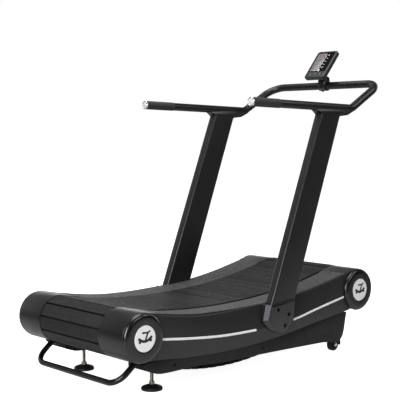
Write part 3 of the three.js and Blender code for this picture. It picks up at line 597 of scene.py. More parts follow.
def powder(name, base, roughness, coat, specular=0.5):
    """Powder-coated steel: orange peel, fine speckle, worn edges."""
    m = Surface(name, base)
    colour = m.mottle(m.noise(scale=5, detail=4), dark=0.88, light=1.14)
    speck = m.remap(m.noise(scale=1400, detail=2, roughness=0.5), start=0.62, end=0.72)
    colour = m.overlay(colour, speck, amount=0.35, top=m.tone(2.2))
    chips = m.remap(m.noise(scale=45, detail=6, roughness=0.75), start=0.52, end=0.66)
    wear = m.times(m.edge(radius=0.0010, start=0.05, end=0.4), chips)
    colour = m.overlay(colour, wear, amount=0.35, top=linear("6e6a66"))
    m.bump(m.noise(scale=260, roughness=0.5), strength=0.35, distance=0.00009)
    m.bump(m.noise(scale=1200, detail=2, roughness=0.5), strength=0.2, distance=0.00003)
    rough = m.remap(m.noise(scale=25, detail=5), low=roughness - 0.05, high=roughness + 0.07)
    return m.finish(colour, rough, specular, Coat_Weight=coat, Coat_Roughness=0.3)


def rubber(name, base, roughness, grain=700, depth=0.0001):
    """Rubber: pitted skin with pale dust in the pits."""
    m = Surface(name, base)
    pits = m.noise(scale=grain)
    colour = m.mottle(m.noise(scale=9, detail=5, roughness=0.65), dark=0.85, light=1.15)
    dust = m.remap(pits, start=0.35, end=0.5, low=1, high=0)
    colour = m.overlay(colour, dust, amount=0.15, top=m.tone(3))
    m.bump(pits, strength=0.5, distance=depth)
    rough = m.remap(m.noise(scale=40, detail=5), low=roughness - 0.07, high=roughness + 0.07)
    return m.finish(colour, rough, specular=0.35)


def metal(name, base, roughness, brush, stretch=(1, 1, 1), depth=0.00004, stain="5b5148",
          stain_amount=0.15, variation=0.08):
    """Bare or plated metal: brushing or turning lines and faint staining."""
    m = Surface(name, base)
    lines = m.noise(scale=brush, stretch=stretch)
    colour = m.mottle(lines, dark=0.86, light=1.1)
    stains = m.remap(m.noise(scale=22, detail=6, roughness=0.7), start=0.5, end=0.72)
    colour = m.overlay(colour, stains, stain_amount, linear(stain))
    m.bump(lines, strength=0.3, distance=depth)
    rough = m.remap(m.noise(scale=35, detail=6, roughness=0.7),
                    low=roughness - variation, high=roughness + variation)
    return m.finish(colour, rough, Metallic=1.0)


def pad_rubber():
    """Coarse pebbled rubber, paler in blots and specks."""
    m = Surface("standing_pad_rubber", "343333")
    blots = m.remap(m.noise(scale=110, detail=4, roughness=0.75), start=0.43, end=0.57)
    colour = m.mix(blots, m.tone(0.35), m.tone(2.3))
    cells = m.remap(m.voronoi(scale=190), start=0.1, end=0.5, low=1, high=0)
    colour = m.overlay(colour, cells, amount=0.4, top=m.tone(2.8))
    specks = m.remap(m.noise(scale=210, detail=2), start=0.60, end=0.68)
    colour = m.overlay(colour, specks, amount=0.55, top=m.tone(5))
    m.bump(m.noise(scale=130, roughness=0.7), strength=0.8, distance=0.0016)
    m.bump(m.noise(scale=420), strength=0.5, distance=0.0002)
    return m.finish(colour, m.remap(m.noise(scale=80, detail=4), low=0.42, high=0.62))


def slat_rubber(name, base):
    """Slat rubber with grain drawn out along the slat."""
    m = Surface(name, base)
    colour = m.mottle(m.noise(scale=11, detail=5, roughness=0.65), dark=0.85, light=1.2)
    streaks = m.remap(m.noise(scale=260, stretch=(1, 0.04, 1)), start=0.4)
    colour = m.overlay(colour, streaks, amount=0.42, top=m.tone(2.1))
    broad = m.remap(m.noise(scale=48, stretch=(1, 0.05, 1)), start=0.45, end=0.62)
    colour = m.overlay(colour, broad, amount=0.5, top=m.tone(0.55))
    m.bump(m.noise(scale=900, detail=2, roughness=0.5, stretch=(1, 0.25, 1)),
           strength=0.4, distance=0.00008)
    rough = m.remap(m.noise(scale=50, detail=5), low=0.50, high=0.66)
    return m.finish(colour, rough, specular=0.30)


def white(name, pearl=0.0):
    m = Surface(name, "f4f4f5")
    colour = m.mottle(m.noise(scale=30, detail=5), dark=0.94, light=1)
    if pearl:
        cells = m.remap(m.voronoi(scale=260), start=0.0, end=0.55, low=1, high=0)
        colour = m.overlay(colour, cells, pearl, linear("b9b8bd"))
    m.bump(m.noise(scale=800, detail=2, roughness=0.5), strength=0.2, distance=0.00004)
    return m.finish(colour, m.remap(m.noise(scale=90, detail=4), low=0.28, high=0.42))


def tinted_lens():
    """Dark window, nearly smooth with faint wiping marks."""
    m = Surface("console_lens", "0b0b0d")
    colour = m.mottle(m.noise(scale=14, detail=4), dark=0.85, light=1.25)
    m.bump(m.noise(scale=9, detail=2, roughness=0.5), strength=0.1, distance=0.0004)
    wipes = m.noise(scale=120, detail=6, roughness=0.7, stretch=(1, 0.2, 1))
    return m.finish(colour, m.remap(wipes, start=0.35, low=0.16, high=0.30), specular=0.05)


def lcd_film():
    """Grey-brown display film, brighter towards its top."""
    m = Surface("lcd_film", "6f686a")
    height = m.node("SeparateXYZ", {"Vector": m.place}).outputs["Z"]
    fade = m.remap(height, start=1.50, end=1.64, low=0.82, high=1.12)
    base = m.mottle(m.noise(scale=40, detail=4), dark=0.92, light=1.08)
    grey = m.node("CombineColor", {0: fade, 1: fade, 2: fade}).outputs[0]
    m.bump(m.noise(scale=1500, detail=2, roughness=0.5), strength=0.15, distance=0.00003)
    return m.finish(m.mix(1.0, base, grey, "MULTIPLY"),
                    m.remap(m.noise(scale=200, detail=4), low=0.18, high=0.3))


MATERIALS = {
    "cover": plastic("cover_plastic", "232224", roughness=0.36, specular=0.4),
    # a darker copy of the cover plastic: painted shade on the drum covers
    "drum_cover": plastic("drum_cover_plastic", "131214", roughness=0.33, specular=0.42),
    "cap": plastic("cap_plastic", "0b0a0c", roughness=0.25, grain=1200, specular=0.62),
    "slat": slat_rubber("slat_rubber", "1a191b"),
    "slat_b": slat_rubber("slat_rubber_b", "232224"),
    "pad": pad_rubber(),
    "white": white("accent_white"),
    "badge": white("badge_white", pearl=0.35),
    "ink": plastic("badge_ink", "161519", roughness=0.45, grain=1500),
    "post": powder("post_paint", "161417", roughness=0.35, coat=0.28),
    "rail": powder("rail_paint", "0e0d0f", roughness=0.36, coat=0.15, specular=0.4),
    "frame": powder("frame_paint", "0a090b", roughness=0.46, coat=0.05, specular=0.24),
    "shoe": powder("bracket_paint", "131214", roughness=0.30, coat=0.35),
    # pale colour for the bracket's rear flank: a painted sheen
    "cheek": powder("bracket_flank_painted_sheen", "6a6870", roughness=0.24, coat=0.6),
    "lift": powder("lift_bar_paint", "070708", roughness=0.22, coat=0.2, specular=0.3),
    "grip": rubber("grip_foam", "2e2d2f", roughness=0.60, grain=1100, depth=0.00012),
    "rubber": rubber("foot_rubber", "131314", roughness=0.5),
    # also painted shade on the slat ends and on the covers' inner lips
    "belt": rubber("carrier_belt", "0c0c0d", roughness=0.7),
    "zinc": metal("zinc_plate", "a39c92", roughness=0.34, brush=160, stain="6b5a3f",
                  stain_amount=0.35),
    "bolt": metal("blacked_bolt", "2a2a2c", roughness=0.38, brush=300, stain="4a3c30",
                  stain_amount=0.2),
    "chrome": metal("chrome_plate", "dfdfe2", roughness=0.14, brush=700, stain="b8b6b4",
                    stain_amount=0.1, variation=0.04),
    "plug": plastic("plug_grey", "cfced2", roughness=0.4, grain=1000, edge_gain=1.2),
    "axle": metal("ground_axle", "a5a5a8", roughness=0.24, brush=900, stretch=(1, 0.05, 1)),
    "drum": metal("turned_drum", "8d8e91", roughness=0.38, brush=260, stretch=(0.3, 3, 0.3)),
    "bearing": metal("cast_iron", "47484b", roughness=0.55, brush=380, depth=0.0002,
                     stain="5d4836", stain_amount=0.2),
    "lens": tinted_lens(),
    "lcd": lcd_film(),
    # painted highlight on the console window, and printed ticks
    "mark": white("painted_glint_and_printed_mark"),
    "lcd_dark": plastic("lcd_segment", "3b3a3f", roughness=0.3, grain=1500),
    "button": rubber("button_rubber", "4b4a4d", roughness=0.5, grain=1200, depth=0.00005),
}


# ---------------------------------------------------------------- running belt
REAR_TOP = math.radians(90 - REAR_ANGLE)


def belt_points():
    """Pitch line (x, z): rear drum, lower run, front drum, then the tread from the front."""
    def sag_angle(x):
        return math.atan(2 * SAG_FACTOR * (x - SAG_X))
    points = arc(REAR_DRUM, PITCH_RADIUS, REAR_TOP, sag_angle(SAG_REAR_X) + 1.5 * math.pi, 240)[:-1]
    for i in range(1500):
        x = SAG_REAR_X + (SAG_FRONT_X - SAG_REAR_X) * i / 1500
        points.append((x, SAG_Z + SAG_FACTOR * (x - SAG_X) ** 2))
    points += arc(FRONT_DRUM, PITCH_RADIUS, sag_angle(SAG_FRONT_X) - math.pi / 2,
                  math.radians(90 + FRONT_ANGLE), 240)[:-1]
    for i in range(1500):
        x = TREAD_FRONT_X + (TREAD_REAR_X - TREAD_FRONT_X) * i / 1500
        points.append(below_tread(x, SLAT_HEIGHT))
    return np.array(points)


BELT = belt_points()
BELT_STEPS = np.roll(BELT, -1, 0) - BELT
BELT_DISTANCES = np.concatenate([[0], np.cumsum(np.linalg.norm(BELT_STEPS, axis=1))])
BELT_LENGTH = float(BELT_DISTANCES[-1])
BELT_PHASE = PITCH_RADIUS * (math.radians(166) - REAR_TOP)


def on_belt(distance):
    """Point, tangent and outward normal at a distance along the pitch line."""
    distance %= BELT_LENGTH
    i = min(int(np.searchsorted(BELT_DISTANCES, distance, "right")) - 1, len(BELT) - 1)
    tangent = unit(BELT_STEPS[i])
    point = BELT[i] + tangent * (distance - BELT_DISTANCES[i])
    return point, tangent, np.array([tangent[1], -tangent[0]])


def slat_section():
    """One slat as (along its travel, above the pitch line), with a ribbed top."""
    half = SLAT_WIDTH / 2
    ribs, rib_pitch = 12, 4.42
    flank = [(-half + 5.5, 7.2), (-half + 0.7, 8.4), (-half, 9.4), (-half, 11.4),
             (-half + 0.35, 12.1), (-half + 1.1, 12.55)]
    points = list(flank)
    for i in range(ribs):
        for offset, drop in ((-1.65, 0.8), (-1.25, 0), (1.25, 0), (1.65, 0.8)):
            along = (i - (ribs - 1) / 2) * rib_pitch + offset
            points.append((along, 13.95 - 1.0 * (abs(along) / half) ** 2.4 - drop))
    points += mirror_first(flank)[len(flank):]
    return points + mirror_first([(20.5, 6.6), (20.0, 1.9), (19.2, 1.3)])


def make_slats():
    section = slat_section()
    # (distance from the slat end, scale along travel, drop of the upper points)
    ends = [(0, 0.90, 1.3), (1.2, 0.925, 0.0), (8, 1.0, 0.0)]
    levels = [(-BELT_HALF + d, scale, drop) for d, scale, drop in ends]
    levels += [(BELT_HALF - d, scale, drop) for d, scale, drop in reversed(ends)]
    second_tone = np.random.RandomState(5).rand(SLAT_COUNT) > 0.5
    slats = Shape()
    for i in range(SLAT_COUNT):
        point, tangent, normal = on_belt(BELT_PHASE + (i + 0.5) * BELT_LENGTH / SLAT_COUNT)
        outlines = [(y, [point + tangent * along * scale + normal * (rise - drop * (rise > 8))
                         for along, rise in section]) for y, scale, drop in levels]
        # slat end faces take the black carrier rubber: painted shade in the gap at the belt's edge
        slats.join(across_y(outlines, mat=3 if second_tone[i] else 0, cap_mat=1))
        # a plug in each end face
        x, z = point + normal * 9.6
        for sign in (-1, 1):
            slats.join(lathe([(0, -0.5), (2.6, -0.5), (2.6, 0.1), (2.0, 0.5), (0, 0.3)],
                             (x, sign * (BELT_HALF - 0.6), z), (0, sign, 0), 10, mat=2))
    piece("slat_belt_slats", slats, "slat belt bolt slat_b", "slat", "slat_belt", angle=28)


def make_carrier():
    """Endless strips under the slats, the outer two toothed inside."""
    count = int(round(BELT_LENGTH / 8.0))
    carrier = Shape()
    for y0, y1, depths in ((-221, -176, (3.4, 4.9)), (-174, 174, (1.1, 1.1)),
                           (176, 221, (3.4, 4.9))):
        stack = []
        for i in range(count):
            point, _, normal = on_belt(BELT_PHASE + i * BELT_LENGTH / count)
            x0, z0 = point + normal * 0.9
            x1, z1 = point - normal * depths[i % 2]
            stack.append([(x0, y0, z0), (x0, y1, z0), (x1, y1, z1), (x1, y0, z1)])
        carrier.join(rings(stack, loop=True))
    piece("slat_belt_carrier", carrier, "belt", "rubber_black", angle=28)


make_slats()
make_carrier()


# ---------------------------------------------------------------- side covers, standing pads
def bulged(y0, z0, y1, z1, bulge):
    """Points between two ends of a slightly bulging flank."""
    parts = [i / 6 for i in range(1, 6)]
    return [(y0 + (y1 - y0) * k + bulge * math.sin(math.pi * k), z0 + (z1 - z0) * k)
            for k in parts]


def cover_section(x):
    """Shell section as (y, z): inner lip, pad bed, rounded lip, creased flank, back inside."""
    top, crease, bottom, inner = top_z(x), crease_z(x), bottom_z(x), inner_z(x)
    edge, pad = edge_y(x), pad_edge(x)
    hem = 393.5 + 7 * (x / SPLIT_X) ** 2
    lip = top - 5.5 * (1 - smooth(-330, -40, x)) - 0.5
    radius = min(9.5, edge - (pad + 4.6))
    round_z = lip - 0.2 - radius
    points = [(228, inner - 15), (228, inner - 2.2), (228.6, inner - 1.2), (229.6, inner - 0.7),
              (234.2, pad_z(x, 234.2) - 0.7), (234.8, pad_z(x, 234.8) - 2.6),
              (pad + 0.3, top - 2.6), (pad + 0.9, lip - 3.2), (pad + 2.6, lip - 3.4),
              (pad + 3.3, lip - 0.8), (pad + 4.0, lip - 0.2)]
    points += arc((edge - radius, round_z), radius, math.pi / 2, 0, 8)[1:]
    points += bulged(edge, round_z, 402, crease + 2.2, 1.1)
    points += [(402.0, crease + 2.2), (402.3, crease), (402.0, crease - 2.2)]
    points += bulged(402.0, crease - 2.2, hem, bottom + 4, 0.9)
    points += [(hem, bottom + 4), (hem - 0.3, bottom + 1.6), (hem - 1.2, bottom + 0.4),
               (hem - 2.4, bottom), (hem - 3.6, bottom + 0.3), (hem - 4, bottom + 1)]
    return points + [(398, crease), (edge - 4.2, lip - 11), (edge - 7.5, lip - 6.5),
                     (pad - 0.5, lip - 6.5), (pad - 3.5, top - 5.8), (232, inner - 5),
                     (232, inner - 15)]


def pad_section(x):
    edge = pad_edge(x)
    return [(y, pad_z(x, y) - drop) for y, drop in (
        (237.6, 2.2), (237.6, 0.9), (238.4, 0.2), (239.9, 0), (edge - 2.2, 0), (edge - 0.9, 0.3),
        (edge, 1.2), (edge, 2.2))]


SHOE_ROUND = round_poly(SHOE, SHOE_RADII, 8)
COVER_END = SPLIT_X - 0.4


def shoe_cuts(shoe_gap, shoe_y, post_gap):
    """Openings for the bracket and the upright."""
    slot = [(line_x(POST_REAR, 300) - post_gap, 300), (line_x(POST_FRONT, 300) + post_gap, 300),
            (line_x(POST_FRONT, 380) + post_gap, 380), (line_x(POST_REAR, 380) - post_gap, 380)]
    return [plate(inset(SHOE_ROUND, -shoe_gap), shoe_y, 424, 0), plate(slot, 363, 430, 0)]


def make_side_covers():
    cover = along_x(cover_section, np.linspace(-COVER_END, COVER_END, 121))
    shells = pair("*_side_cover_shell", cover, "cover belt", "cover", "*_side_cover",
                  cuts=shoe_cuts(1.2, 356, 1.5), angle=30)
    # the inner lip beside the belt takes the black carrier rubber: painted shade in the gap beside
    # the belt
    for shell in shells:
        for face in shell.data.polygons:
            if abs(face.center.y) < 0.2352 and face.center.z > 0.15:
                face.material_index = 1
    pad = along_x(pad_section, np.linspace(-COVER_END + 3, COVER_END - 3, 110))
    pair("*_standing_pad", pad, "pad", "cover", cuts=shoe_cuts(3.5, 353, 3.5), angle=30)


def pebble(x, y, radius, rng):
    """Six-sided frustum standing on the sloping pad."""
    slope_x = (pad_z(x + 1, y) - pad_z(x - 1, y)) / 2
    slope_y = (pad_z(x, y + 1) - pad_z(x, y - 1)) / 2
    height = rng.uniform(0.55, 1.15)
    phase = rng.uniform(0, 1)
    level = pad_z(x, y)
    return rings([[(px, py, level + slope_x * (px - x) + slope_y * (py - y) + rise)
                   for px, py in circle(x, y, size, 6, phase)]
                  for size, rise in ((radius, -0.25), (0.55 * radius, height))])


def make_pebbles():
    """Raised pebbles on the pads in jittered rows, clear of the bracket."""
    rng = np.random.RandomState(11)
    clear_x = [point[0] for point in inset(SHOE_ROUND, -6.5)]
    clear_rear, clear_front = min(clear_x) - 1, max(clear_x) + 1
    pebbles = Shape()
    row = 0
    row_y = 242.0
    while row_y < 392:
        row_x = -SPLIT_X + 8 + (row % 2) * 3.1
        while row_x < SPLIT_X - 8:
            jitter_x, jitter_y = rng.uniform(-0.8, 0.8, 2)
            radius = rng.uniform(1.75, 2.45)
            x, y = row_x + jitter_x, row_y + jitter_y
            in_bracket = y > 347 and clear_rear < x < clear_front
            if y < pad_edge(x) - 3.4 and not in_bracket:
                pebbles.join(pebble(x, y, radius, rng))
            row_x += 6.2
        row_y += 5.4
        row += 1
    pair("*_standing_pad_pebbles", pebbles, "pad", "cover", angle=60, clean=False)


def make_stripes():
    """Round-ended mouldings along the crease of the covers."""
    round_end = 6.5
    for name, rear, front in (("rear", -628, -32), ("front", 232, 628)):
        def section(x):
            part = min(1, min(x - rear, front - x) / round_end)
            size = math.sqrt(max(0.02, 1 - (1 - part) ** 2))
            half = 5.6 * size
            flank = [(401.2, half), (402.9, half), (404.0, half - 0.5 * size),
                     (404.5, half - 1.6 * size)]
            crease = crease_z(x)
            return ([(y, crease - rise) for y, rise in flank] + [(404.7, crease)]
                    + [(y, crease + rise) for y, rise in reversed(flank)])
        ends = (0, 0.5, 1.6, 3.6, round_end)
        stations = [rear + d for d in ends] + list(np.linspace(rear + 12, front - 12, 60))
        stations += [front - d for d in reversed(ends)]
        pair(f"{name}_*_stripe_moulding", along_x(section, stations), "white", "white",
             f"{name}_*_accent_stripe", angle=35)


make_side_covers()
make_pebbles()
make_stripes()

# ---------------------------------------------------------------- drum covers, caps, badges
# (y, inset of the outline) round the wall of a drum cover
DRUM_COVER_LEVELS = [
    (228, 15.5), (228, 1.6), (228.5, 0.6), (229.6, 0.05), (231, 0), (397.5, 0), (399.3, 0.25),
    (400.8, 0.9), (401.7, 1.9), (402, 3.2), (402, 34), (398, 34), (398, 6.5), (397.2, 4.8),
    (395.4, 4), (232.2, 4), (232.2, 15.5)]
# (radius, y) profiles of the end cap and the badge
CAP_PROFILE = [(0, 413), (100, 413), (100, 402.7), (109.8, 402.7), (110.4, 403.1), (110.5, 403.8)]
CAP_PROFILE += [(87.5 + 23 * math.cos(a), 404 + 18 * math.sin(a))
                for a in np.radians(np.linspace(3, 90, 22))]
CAP_PROFILE += [(64.2, 422.0), (62.6, 421.8), (61.4, 421.0), (60.8, 419.8), (60.6, 418.3),
                (30, 418.3), (0, 418.3)]
BADGE_PROFILE = [(0, 418.5), (57.4, 418.5), (58.2, 418.9), (58.3, 420.2), (57.7, 420.9),
                 (56.6, 421.2), (50, 421.35), (25, 421.5), (0, 421.55)]
PRINT_Y = 421.0


def drum_outline(axis, facing, tread_angle, cover_radius, depth):
    """Cover outline (x, z), drawn inward by a depth; facing is -1 at the rear, 1 in front."""
    radius = cover_radius - depth
    split = facing * (SPLIT_X + depth)
    start = math.radians(90 + facing * tread_angle)
    join = axis[0] + radius * math.cos(start)
    stations = [split + (join - split) * k for k in (0, 0.17, 0.35, 0.52, 0.7, 0.85)]
    points = [(x, top_z(x) - depth) for x in stations]
    quarters = (0.25, 0.5, 0.75, 1)
    if facing < 0:
        points += arc(axis, radius, start, 1.5 * math.pi, 56)
        stations = [axis[0] + (split - axis[0]) * k for k in quarters]
        return points + [(x, bottom_z(x) + depth) for x in stations]
    end = -math.pi / 2 - math.asin((axis[0] - 692) / cover_radius)
    points += arc(axis, radius, start, end, 56)
    x0, z0 = points[-1]
    z1 = bottom_z(SPLIT_X) + depth
    return points + [(x0 + (split - x0) * k, z0 + (z1 - z0) * k) for k in quarters]


def stroke(points, width, top):
    """Flat raised stroke with round ends along an (x, z) polyline."""
    points = np.array(points, float)
    ways = np.gradient(points, axis=0)
    ways /= np.linalg.norm(ways, axis=1)[:, None]
    offsets = np.stack([-ways[:, 1], ways[:, 0]], 1) * width / 2
    end_angle = math.atan2(offsets[-1][1], offsets[-1][0])
    start_angle = math.atan2(-offsets[0][1], -offsets[0][0])
    outline = list(points - offsets)
    outline += arc(points[-1], width / 2, end_angle - math.pi, end_angle, 6)[1:-1]
    outline += list((points + offsets)[::-1])
    outline += arc(points[0], width / 2, start_angle - math.pi, start_angle, 6)[1:-1]
    return across_y([(PRINT_Y, outline), (top, outline)])


def badge_icon(centre):
    """Pictogram: a curved deck on two rollers with a leaning post and a rail."""
    def deck_z(x):
        return -11 + 0.0125 * (x + 2) ** 2
    deck = np.array([(x, deck_z(x)) for x in np.linspace(-34, 33, 23)])
    icon = stroke(centre + deck, 12.0, 421.95)
    for x in (-30, 30):
        icon.join(spin([(0, PRINT_Y), (7.0, PRINT_Y), (7.0, 421.9), (0, 421.95)],
                       centre[0] + x, centre[1] + deck_z(x) - 10.5, 24))
    post = np.array([(0, -8), (5, 3), (10, 15), (14, 25)])
    rail = np.array([(-14, 27.0), (0, 26.5), (14, 26), (25, 31)])
    return icon.join(stroke(centre + post, 9.0, 421.92), stroke(centre + rail, 8.0, 421.9))


def make_drum_ends():
    # (name, drum axis, facing, tread angle, cover radius, rise of the cap)
    for end, axis, facing, angle, radius, cap_rise in (
            ("rear", REAR_DRUM, -1, REAR_ANGLE, 112.0, 0.0),
            ("front", FRONT_DRUM, 1, FRONT_ANGLE, 110.0, -1.5)):
        cover = across_y([(y, drum_outline(axis, facing, angle, radius, depth))
                          for y, depth in DRUM_COVER_LEVELS], loop=True)
        pair(f"{end}_*_drum_cover_shell", cover, "drum_cover", "cover", f"{end}_*_drum_cover",
             angle=30)
        x, z = axis + np.array([0, cap_rise])
        cap, badge = spin(CAP_PROFILE, x, z, 144), spin(BADGE_PROFILE, x, z, 128)
        icon = badge_icon((x, z))
        for side in SIDES:
            name = f"{end}_{side}"
            piece(f"{name}_end_cap_ring", cap.on_side(side), "cap", "cap", f"{name}_end_cap",
                  angle=30)
            piece(f"{name}_badge_disc", badge.on_side(side), "badge", "white", f"{name}_badge",
                  angle=40)
            piece(f"{name}_badge_print", icon.on_side(side), "ink", "cap", angle=40)


make_drum_ends()

# ---------------------------------------------------------------- side frames
# lower edge of the frame: knots, x stations, and the corners at its rear and front ends
frame_low_z = through([(-690, 122), (-631, 104), (-518, 102), (-376, 103), (-244, 94), (51, 92),
                       (490, 83), (615, 77)])
FRAME_LOW = [(x, frame_low_z(x)) for x in (
    -684, -674, -662, -650, -638, -625, -610, -590, -560, -520, -480, -440, -400, -360, -320,
    -280, -240, -200, -140, -80, 0, 100, 200, 300, 400, 500, 560, 600)]
FRAME_REAR = [(-719, 157), (-713, 147), (-703, 137), (-694, 129)]
FRAME_FRONT = [(612, 77.5), (620, 79), (628, 84), (636, 92), (643, 102), (649, 116), (655, 140),
               (663, 180), (672, 221), (648, 224)]
# inner plate between the drums: lower edge (x, z) and stations of the upper edge
INNER_LOW = [(-662, 192), (-645, 186), (-640, 110), (-518, 104), (-376, 105), (-244, 95), (51, 93),
             (490, 84), (612, 78), (634, 92), (642, 150), (646, 246), (660, 252)]
INNER_TOP_X = (620, 540, 450, 350, 250, 150, 50, -50, -150, -250, -350, -440, -520, -580, -640)


def outer_frame_plate():
    def below_crease(stations):
        return [(x, crease_z(x) - 8) for x in stations]
    top = below_crease((640, 590, 540, 480, 420, 360, 300, 244)) + [(232, 176), (-34, 176)]
    top += below_crease((-50, -120, -200, -300, -400, -480, -560, -640))
    outline = FRAME_REAR + FRAME_LOW + FRAME_FRONT + top + [(-650, 165), (-712, 165)]
    return plate(outline, 381, 387, 1.2)


def inner_frame_plate():
    half = math.pi / 2
    outline = arc(REAR_DRUM, 58, half, 3 * half, 24) + INNER_LOW
    outline += arc(FRONT_DRUM, 58, 3 * half, 5 * half, 24)
    return plate(outline + [(x, tread_z(x) - 34) for x in INNER_TOP_X], 238, 243, 0.8)


def make_frames():
    frame = Shape().join(outer_frame_plate(), inner_frame_plate())
    flange = [(-688, 123)] + FRAME_LOW + [(612, 77.5)]
    frame.join(plate([(x, z + 0.2) for x, z in flange] + [(x, z + 5) for x, z in reversed(flange)],
                     239, 386, 0.6))
    # cross plates (x, bottom, top)
    for x, z0, z1 in ((-690, 126, 164), (-500, 106, 225), (-250, 96, 200), (300, 89, 225),
                      (560, 82, 270)):
        frame.join(box(x, x + 5, 239, 386, z0, z1, 0.6))
    frame.join(plate([(-690, 126), (-690, 160), (-640, 170), (-636, 112)], 239, 244, 0.5))
    # plate and ribs behind the bracket
    frame.join(plate([(-6, 250), (-6, 318), (215, 322), (205, 250), (165, 196), (120, 180),
                      (50, 205)], 350, 361.6, 1.0))
    for x in (10, 197):
        frame.join(box(x, x + 6, 239, 352, 93, 312, 0.6))
    frame.join(box(10, 203, 351, 356, 94, 205, 0.6))
    # weld beads where the cross plates meet the outer plate
    for x, z0, z1 in ((-500, 112, 165), (-250, 102, 150), (300, 95, 165), (560, 88, 205)):
        path = rounded_path([(x - 1, 380.4, z0), (x - 1, 380.4, z1)], [0, 0], straight=4)
        frame.join(tube(path, lambda distance: 2.4 + 0.5 * math.sin(distance * 1.3), 8))
    pair("*_side_frame_weldment", frame, "frame", "frame_black", "*_side_frame", angle=30)
    screws = Shape()
    for x, z in ((-541, 128), (32, 118)):
        screws.join(spin([(0, 384), (7.4, 384), (7.4, 388.2), (6.8, 389.6), (5.4, 390.4),
                          (3.3, 390.6), (3.0, 390.2), (2.9, 388.2), (0, 388.0)], x, z, 36))
    pair("*_frame_screws", screws, "bolt", "bearing", angle=35)


make_frames()

# ---------------------------------------------------------------- handrail and grips
RAIL_RADIUS, RAIL_Y = 21.0, 394.0
# (x, z) of the rear end, the bend, and the front bar across the machine
RAIL_END, RAIL_BEND, BAR = (-62.0, 1317.7), (684.0, 1297.6), (930.0, 1437.0)
RAIL_WAY = unit(np.array([RAIL_BEND[0] - RAIL_END[0], 0, RAIL_BEND[1] - RAIL_END[1]]))


def rail_point(x):
    return (x, RAIL_Y, RAIL_END[1] + (x - RAIL_END[0]) * RAIL_WAY[2] / RAIL_WAY[0])


def grip_sleeve():
    """Sleeve with end collars and shallow rings, as (radius, distance along the rail)."""
    length = (128 - RAIL_END[0] - 0.4) / RAIL_WAY[0]
    profile = [(21.3, 0.0), (22.0, 0.0), (22.6, 0.7), (22.6, 5.2), (22.1, 5.7), (22.1, 6.5),
               (22.6, 7.0)]
    along = 12.0
    while along < length - 16:
        profile += [(22.6, along), (22.35, along + 0.5), (22.35, along + 1.3), (22.6, along + 1.8)]
        along += 6.0
    profile += [(radius, length - back) for radius, back in (
        (22.6, 7.0), (22.1, 6.5), (22.1, 5.7), (22.6, 5.2), (22.6, 1.6), (22.1, 0.5), (21.3, 0))]
    return lathe(profile, rail_point(RAIL_END[0] + 0.4), RAIL_WAY, 56)


def make_rail():
    corners = both_sides([(x, RAIL_Y, z) for x, z in (RAIL_END, RAIL_BEND, BAR)])
    path = rounded_path(corners, [0, 70, 90, 90, 70, 0], straight=60)
    piece("handlebar_tube", tube(path, lambda distance: RAIL_RADIUS, 48), "rail", "post_black",
          "handlebar", angle=40)
    pair("*_grip_sleeve", grip_sleeve(), "grip", "rubber_black", "*_grip", angle=40)
    tip = rail_point(RAIL_END[0] - 0.4)
    plug = lathe([(0, -22), (17.2, -22), (17.5, -21), (17.5, -1), (22.0, -1), (22.4, -0.4),
                  (22.4, 4.0), (21.9, 6.2), (20.6, 7.6), (18.9, 8.0), (17.6, 7.5), (16.9, 6.4),
                  (16.8, 5.6)], tip, -RAIL_WAY, 56)
    plug.join(lathe([(17.0, 5.0), (16.8, 5.7), (13, 6.2), (9.5, 6.5), (8.8, 7.2), (8.0, 7.7),
                     (4, 8.1), (0, 8.2)], tip, -RAIL_WAY, 48, mat=1))
    pair("*_grip_end_cap_plug", plug, "chrome plug", "chrome", "*_grip_end_cap", angle=40)


make_rail()

# ---------------------------------------------------------------- uprights and brackets
# saddle outline (x, z) and corner radii
SADDLE = [(390, 1290), (394, 1283), (426, 1266), (431, 1254), (570, 1249), (577, 1256),
          (640, 1262), (688, 1283), (694, 1290), (640, 1295), (560, 1298)]
SADDLE_RADII = [4, 8, 24, 3, 3, 14, 60, 18, 4, 10, 10]
# bracket levels: (y, inset, share of the way to the face outline)
SHOE_LEVELS = [
    (362, 1.0, 0), (363, 0, 0), (411.0, 0, 0), (411.8, 0, 0.03), (414.5, 0, 0.30),
    (417.5, 0, 0.62), (419.6, 0, 0.82), (421.6, 0, 0.96), (423.2, 0.5, 1), (424.3, 1.5, 1),
    (424.9, 3.2, 1), (425, 5.5, 1)]


def post_rings(heights, grow, radius):
    """Rounded sections of the upright, grown on every side."""
    stack = []
    for z in heights:
        outline = rect(line_x(POST_REAR, z) - grow, line_x(POST_FRONT, z) + grow,
                       POST_IN - grow, POST_OUT + grow, radius, 8)
        stack.append([(x, y, z) for x, y in outline])
    return stack


def make_posts():
    bottom, top = 262.0, 1268.0
    post = rings(post_rings(np.linspace(bottom, top, 9), 0, 9.5)
                 + post_rings(np.linspace(top - 8, bottom, 9), -4, 5.5))
    pair("*_upright_tube", post, "post", "post_black", "*_upright", angle=34)
    levels = mirror_first([(371, 3), (371.8, 1.2), (373.5, 0.2), (375, 0)], 390.5)
    pair("*_upright_saddle", prism(round_poly(SADDLE, SADDLE_RADII, 5), levels), "post",
         "post_black", angle=34)


def make_brackets():
    face = round_poly(SHOE_FACE, SHOE_RADII, 8)
    casting = across_y([(y, [(a * (1 - share) + c * share, b * (1 - share) + d * share)
                             for (a, b), (c, d) in zip(inset(SHOE_ROUND, depth),
                                                       inset(face, depth))])
                        for y, depth, share in SHOE_LEVELS])
    cuts = [disc(x, z, 10.2, 417.4, 426, 48) for x, z in SHOE_BOLTS]
    cuts.append(rings(post_rings((300, 372), 0.6, 9.8)))
    castings = pair("*_upright_bracket_casting", casting, "shoe cheek", "shoe",
                    "*_upright_bracket", cuts=cuts, angle=30)
    # the sloping rear flank takes the pale colour: a painted sheen where it catches the light from
    # behind
    for ob in castings:
        for polygon in ob.data.polygons:
            x, y, z = polygon.center
            if (polygon.normal.x < -0.25 and 0.4105 < abs(y) < 0.4236 and 0.262 < z < 0.345
                    and x * 1000 - MID_X < 54):
                polygon.material_index = 1


